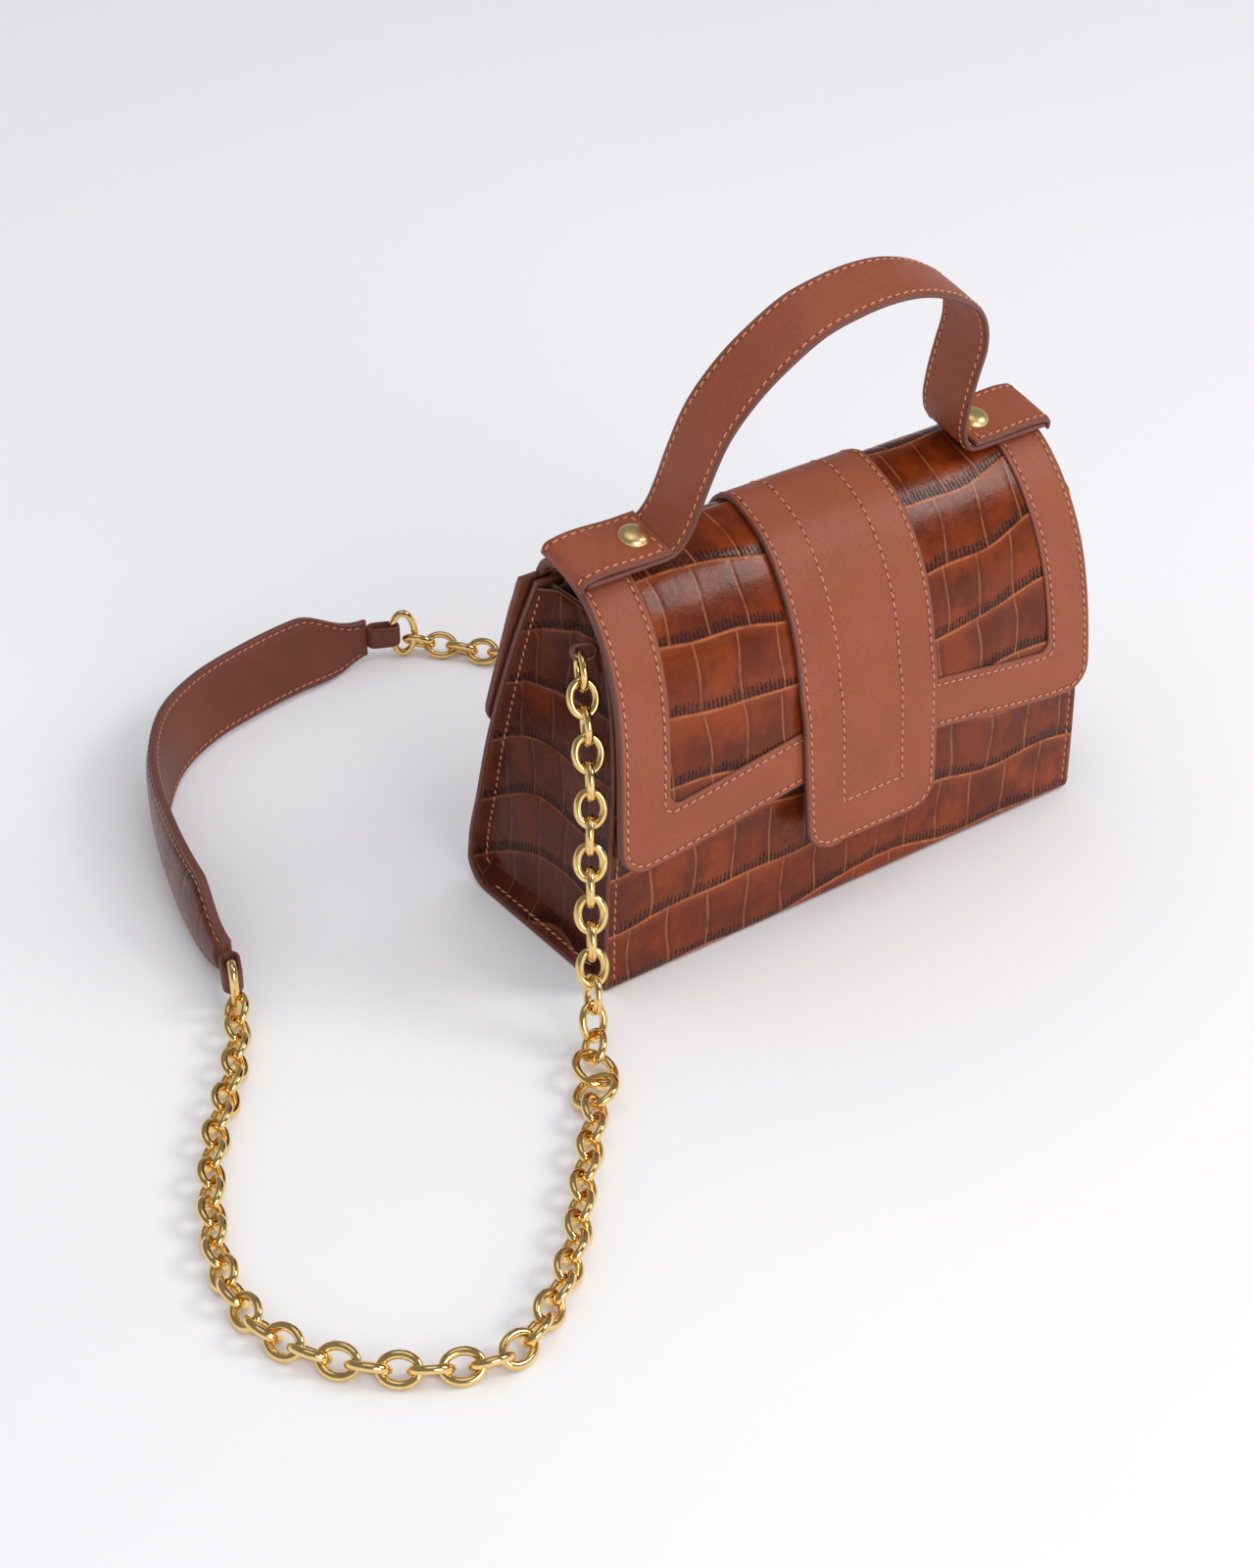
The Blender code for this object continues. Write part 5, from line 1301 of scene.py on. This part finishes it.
def make_pad_end(end_name, centre, along):
    """The ring and the leather loop at one end of the pad; returns where the pad ends."""
    along = unit(along * np.array([1.0, 1.0, 0.0]))
    centre = np.array([centre[0], centre[1], PAD_RING_HEIGHT / 2 + CLEARANCE])
    ring = wire_loop(centre, along, UPRIGHT, PAD_RING_LENGTH, PAD_RING_HEIGHT, RING_WIRE, *RING_DETAIL)
    metal_piece(f"pad_oval_{end_name}", [ring], f"pad_ring_{end_name}")
    wire_place = centre + along * (PAD_RING_LENGTH - RING_WIRE) / 2
    leather_band(
        f"pad_tie_{end_name}", wire_place + along * PAD_LOOP_LENGTH / 2, along, UPRIGHT, PAD_LOOP_LENGTH / 2,
        PAD_LOOP_EYE, PAD_LOOP_THICKNESS, PAD_LOOP_WIDTH, f"pad_loop_{end_name}", PAD_LEATHER,
    )
    return wire_place + along * (PAD_LOOP_LENGTH + PAD_LOOP_EYE + PAD_LOOP_THICKNESS + PAD_SET)


def pad_surface(middle, end_z, s, share):
    """Points on the pad's plane and its outward directions."""
    place, slope = middle.at(s), middle.tangent(s)
    zero = np.zeros_like(s)
    outward = np.stack([-slope[..., 1], slope[..., 0], zero], -1)
    taper = smooth_step(np.minimum(s, middle.length - s) / PAD_TAPER)
    lean = (PAD_LEAN_NEAR + (PAD_LEAN_FAR - PAD_LEAN_NEAR) * smooth_step(s / middle.length)) * taper
    width = PAD_END_WIDTH + (PAD_WIDTH - PAD_END_WIDTH) * taper
    c, n = np.cos(lean)[..., None], np.sin(lean)[..., None]
    up, out = UPRIGHT * c + outward * n, outward * c - UPRIGHT * n
    foot = (CLEARANCE + PAD_BACKING) * np.abs(np.sin(lean))
    standing = width * np.cos(lean) / 2 + foot + PAD_LIFT
    z = end_z + (standing - end_z) * taper
    points = np.concatenate([place, z[..., None]], -1) + up * (width * share)[..., None]
    return points, out, width


def make_pad(near_end, far_end):
    """The shoulder pad: croc outside, smooth leather inside, sewn along both edges."""
    middle = Curve([near_end[:2], *from_side(PAD_ROUTE, -1), far_end[:2]])
    s = stations(0.0, middle.length, step=0.8, margin=1.4)
    share = stations(-0.5, 0.5, step=0.036, margin=0.06)
    s_grid, share_grid = np.meshgrid(s, share, indexing="ij")
    points, out, width = pad_surface(middle, near_end[2], s_grid, share_grid)
    across = share_grid * width
    layers, relief = croc_maps(s_grid, across + 9.0, seed=61)
    inset = np.minimum((0.5 - np.abs(share_grid)) * width, np.minimum(s_grid, middle.length - s_grid))
    pressed = groove(inset - PAD_SEAM)
    crown = PAD_CROWN * np.clip(1 - 4 * share_grid**2, 0, 1) * np.clip(inset / 4.0, 0, 1)
    relief = relief * np.clip((inset - 1.0) / 3.0, 0, 1) + crown - 0.2 * pressed
    back = 0.25 * np.clip((inset - PAD_SEAM) / 3.0, 0, 1) - 0.16 * pressed
    back = back + 0.05 * wander(s_grid, across, seed=71, scale=8.0)
    thickness = PAD_THICKNESS + CLEARANCE + PAD_BACKING
    piece = leather_sheet(
        "shoulder_pad_sewn", points + out * PAD_THICKNESS, out, thickness, [CROC_PAD, PAINT, PAD_LEATHER],
        relief, layers, 0.9, back,
    )
    dress(piece, "bag_body", "croc_leather", "shoulder_pad", "shoulder_pad_backing")
    rows = []
    line = np.linspace(3.0, middle.length - 3.0, 500)
    for edge in (-1, 1):
        _, _, width = pad_surface(middle, near_end[2], line, 0 * line)
        points, out, _ = pad_surface(middle, near_end[2], line, edge * (0.5 - PAD_SEAM / width))
        rows.append((points + out * (PAD_THICKNESS + 0.25), out))
        rows.append((points - out * (thickness - PAD_THICKNESS - 0.05), -out))
    sew("pad_stitches", rows, CROC_THREAD, "bag_body")


def make_strap_and_pad():
    """Both strands with their anchors, and the pad between their ends."""
    ends = {}
    left_points = from_side(LEFT_ROUTE, -1)
    right_points = from_side(RIGHT_ROUTE, 1) + from_side(REAR_ROUTE, -1)
    for side_name, points, end_name in (("left", left_points, "near"), ("right", right_points, "far")):
        top, pad_ring = make_strand(side_name, points)
        make_anchor(side_name, *top)
        ends[end_name] = make_pad_end(end_name, *pad_ring)
    make_pad(ends["near"], ends["far"])


make_strap_and_pad()


# Hinge tape under the fold, between the rear yoke and the flap
TAPE_HALF_WIDTH, TAPE_START, TAPE_END = 84.0, HINGE - 6.0, HINGE + 8.0
BEND_REACH = 3.0


def make_hinge_tape():
    """A leather tape under the fold, with its transform baked in."""
    s = np.linspace(TAPE_START, TAPE_END, 40)
    x = stations(-1.0, 1.0, step=0.04, margin=0.02) * TAPE_HALF_WIDTH
    x_grid, s_grid = np.meshgrid(x, s)
    points, normals = FLAP.surface(x_grid, s_grid)
    depth = 2.2 + 0.9 * smooth_step((s_grid - HINGE + BEND_REACH) / 5.0)
    relief = 0.05 * wander(x_grid, s_grid, seed=81, scale=5.0)
    piece = leather_sheet(
        "hinge_tape", points - normals * depth[..., None], normals, 0.6, [LEATHER_BACK, PAINT, LINING],
        relief, rim=0.3,
    )
    near, far = FLAP.at(HINGE - BEND_REACH) * MM, FLAP.at(HINGE + BEND_REACH) * MM
    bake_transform(piece)


# Magnetic snap, and the pieces that keep their solid
SNAP_HEIGHT, SNAP_RADIUS, SNAP_DEEP = 33.0, 8.0, 3.0
INTO_BAG = np.array([0.0, 1.0, 0.0])
SOCKET_PROFILE = [
    (1.0, 0.0), (1.0, 0.45), (0.97, 0.72), (0.90, 0.90), (0.84, 0.97), (0.78, 1.0), (0.72, 0.96),
    (0.70, 0.82), (0.68, 0.78), (0.30, 0.78), (0.28, 0.74), (0.24, 0.5), (0.0, 0.48),
]
STUD_PROFILE = [
    (1.0, 0.0), (1.0, 0.40), (0.97, 0.62), (0.90, 0.80), (0.80, 0.88), (0.66, 0.90), (0.64, 0.98),
    (0.58, 1.0), (0.0, 1.0),
]


def make_snap():
    """The two halves of the magnetic snap, turned with a rim and a seat."""
    place = BODY.at(body_place(SNAP_HEIGHT, True))
    base = np.array([0.0, place[0] - 0.3, place[1]])
    profile = [(r * SNAP_RADIUS, h * SNAP_DEEP) for r, h in SOCKET_PROFILE]
    add_turned("snap_cup", "bag_body", "snap_socket", profile, base, -INTO_BAG, 64)
    low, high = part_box("snap_stud")
    depth = (high[1] - low[1]) / MM - 1.6
    stud_base = np.array([0.0, high[1] / MM - depth, place[1]])
    profile = [(r * SNAP_RADIUS, h * depth) for r, h in STUD_PROFILE]
    add_turned("snap_plunger", "flap", "snap_stud", profile, stud_base, INTO_BAG, 64)


def finish_kept_nodes():
    """Materials for the inner pieces whose solids already have their shape."""
    for mat, nodes in (
        (BOARD, ("board_front", "board_base", "board_back")),
        (LINING, ("lining", "lining_side_left", "lining_side_right", "slip_pocket")),
        (STEEL, ("snap_washer", "rivet_washer_left", "rivet_washer_right")),
        (LEATHER_BACK, ("yoke_filler",)),
    ):
        for node in nodes:
            paint_slots(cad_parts[node].data, [mat])


make_hinge_tape()
make_snap()
finish_kept_nodes()


# Light, floor and camera
CAMERA_PLACE = Vector((-0.4674, -0.5571, 0.4985))
CAMERA_TOWARDS = Vector((0.4926, 0.6730, -0.5517))
CAMERA_LENS, CAMERA_SENSOR = 61.96, 36.0
BACKDROP = tint(238, 238, 242)
BACKDROP_GLOW = 0.9
SKY_LIGHT = 0.78
SKY_REFLECTED = 0.26
SKY_DARK_FROM = 0.32
FLOOR_REACH, FLOOR_FADE = 12.0, (1.2, 3.0)
LAMP_TARGET = Vector((0.0, 0.0, 0.05))
# Each lamp's name, place, width, power and colour
LAMPS = (
    ("key", (1.1, -0.9, 1.3), 0.7, 9.5, (1.0, 0.98, 0.95)),
    ("front", (-0.2, -1.6, 0.75), 1.0, 9.5, (1.0, 1.0, 1.0)),
    ("top", (-0.1, 0.0, 1.7), 1.2, 2.6, (1.0, 1.0, 1.0)),
)


def aimed(name, data, place, towards):
    """An object for a camera's or a lamp's data, looking along a direction from its place."""
    made = bpy.data.objects.new(name, data)
    made.location = place
    made.rotation_euler = towards.to_track_quat("-Z", "Y").to_euler()
    bpy.context.scene.collection.objects.link(made)
    return made


def add_camera():
    """The photo's own camera."""
    data = bpy.data.cameras.new("camera")
    data.lens, data.sensor_width, data.sensor_fit = CAMERA_LENS, CAMERA_SENSOR, "AUTO"
    bpy.context.scene.camera = aimed("camera", data, CAMERA_PLACE, CAMERA_TOWARDS)


def seen_directly(g):
    """1 for rays from the camera and for those reflected or passed on by metal and glass."""
    rays = g.node("LightPath").outputs
    either = g.math("MAXIMUM", rays["Is Camera Ray"], rays["Is Glossy Ray"])
    return g.math("MAXIMUM", either, rays["Is Transmission Ray"])


def add_floor():
    """A wide pale floor that darkens and glows far from the bag, so that it meets the backdrop's tone."""
    mesh = bpy.data.meshes.new("floor")
    corners = [(x * FLOOR_REACH, y * FLOOR_REACH, 0) for x, y in ((-1, -1), (1, -1), (1, 1), (-1, 1))]
    mesh.from_pydata(corners, [], [(0, 1, 2, 3)])
    floor = bpy.data.objects.new("floor", mesh)
    g = Graph("pale_floor")
    where = g.node("TexCoord").outputs["Object"]
    cloud = g.noise(where, 1.2, 2.0)
    away = g.node("VectorMath", {"Vector": where}, operation="LENGTH").outputs["Value"]
    far = g.ramp(away, *FLOOR_FADE)
    near_tone = g.mix(g.ramp(cloud, 0.3, 0.7), tint(243, 243, 245), tint(246, 246, 247))
    g.surface(Base_Color=g.mix(far, near_tone, tint(8, 8, 8)), Roughness=0.9, Specular_IOR_Level=0.0)
    glow = g.times(far, BACKDROP_GLOW)
    g.surface(Emission_Color=BACKDROP, Emission_Strength=g.times(glow, seen_directly(g)))
    mesh.materials.append(g.material)
    bpy.context.scene.collection.objects.link(floor)


def add_lamps():
    """Round soft lamps, all aimed at the bag's foot."""
    for name, place, size, energy, colour in LAMPS:
        data = bpy.data.lights.new(name, "AREA")
        data.shape, data.size, data.energy, data.color = "DISK", size, energy, colour
        aimed(name, data, Vector(place), LAMP_TARGET - Vector(place))


def add_world():
    """Even studio light; metal and gloss reflect it pale near the horizon and darker overhead."""
    g = Graph("studio", world=True)
    rays = g.node("LightPath").outputs
    up = g.node("SeparateXYZ", {"Vector": g.node("TexCoord").outputs["Generated"]}).outputs["Z"]
    sky = g.ramp(up, 0.0, SKY_DARK_FROM, BACKDROP_GLOW, SKY_REFLECTED)
    direct = g.math("MAXIMUM", rays["Is Camera Ray"], rays["Is Transmission Ray"])
    strength = g.math("MULTIPLY_ADD", direct, BACKDROP_GLOW - SKY_LIGHT, SKY_LIGHT)
    gain = g.minus(sky, SKY_LIGHT)
    g.surface(Color=BACKDROP, Strength=g.math("MULTIPLY_ADD", rays["Is Glossy Ray"], gain, strength))
    bpy.context.scene.world = g.material


add_camera()
add_floor()
add_world()
add_lamps()

bpy.context.scene.view_settings.view_transform = "Standard"
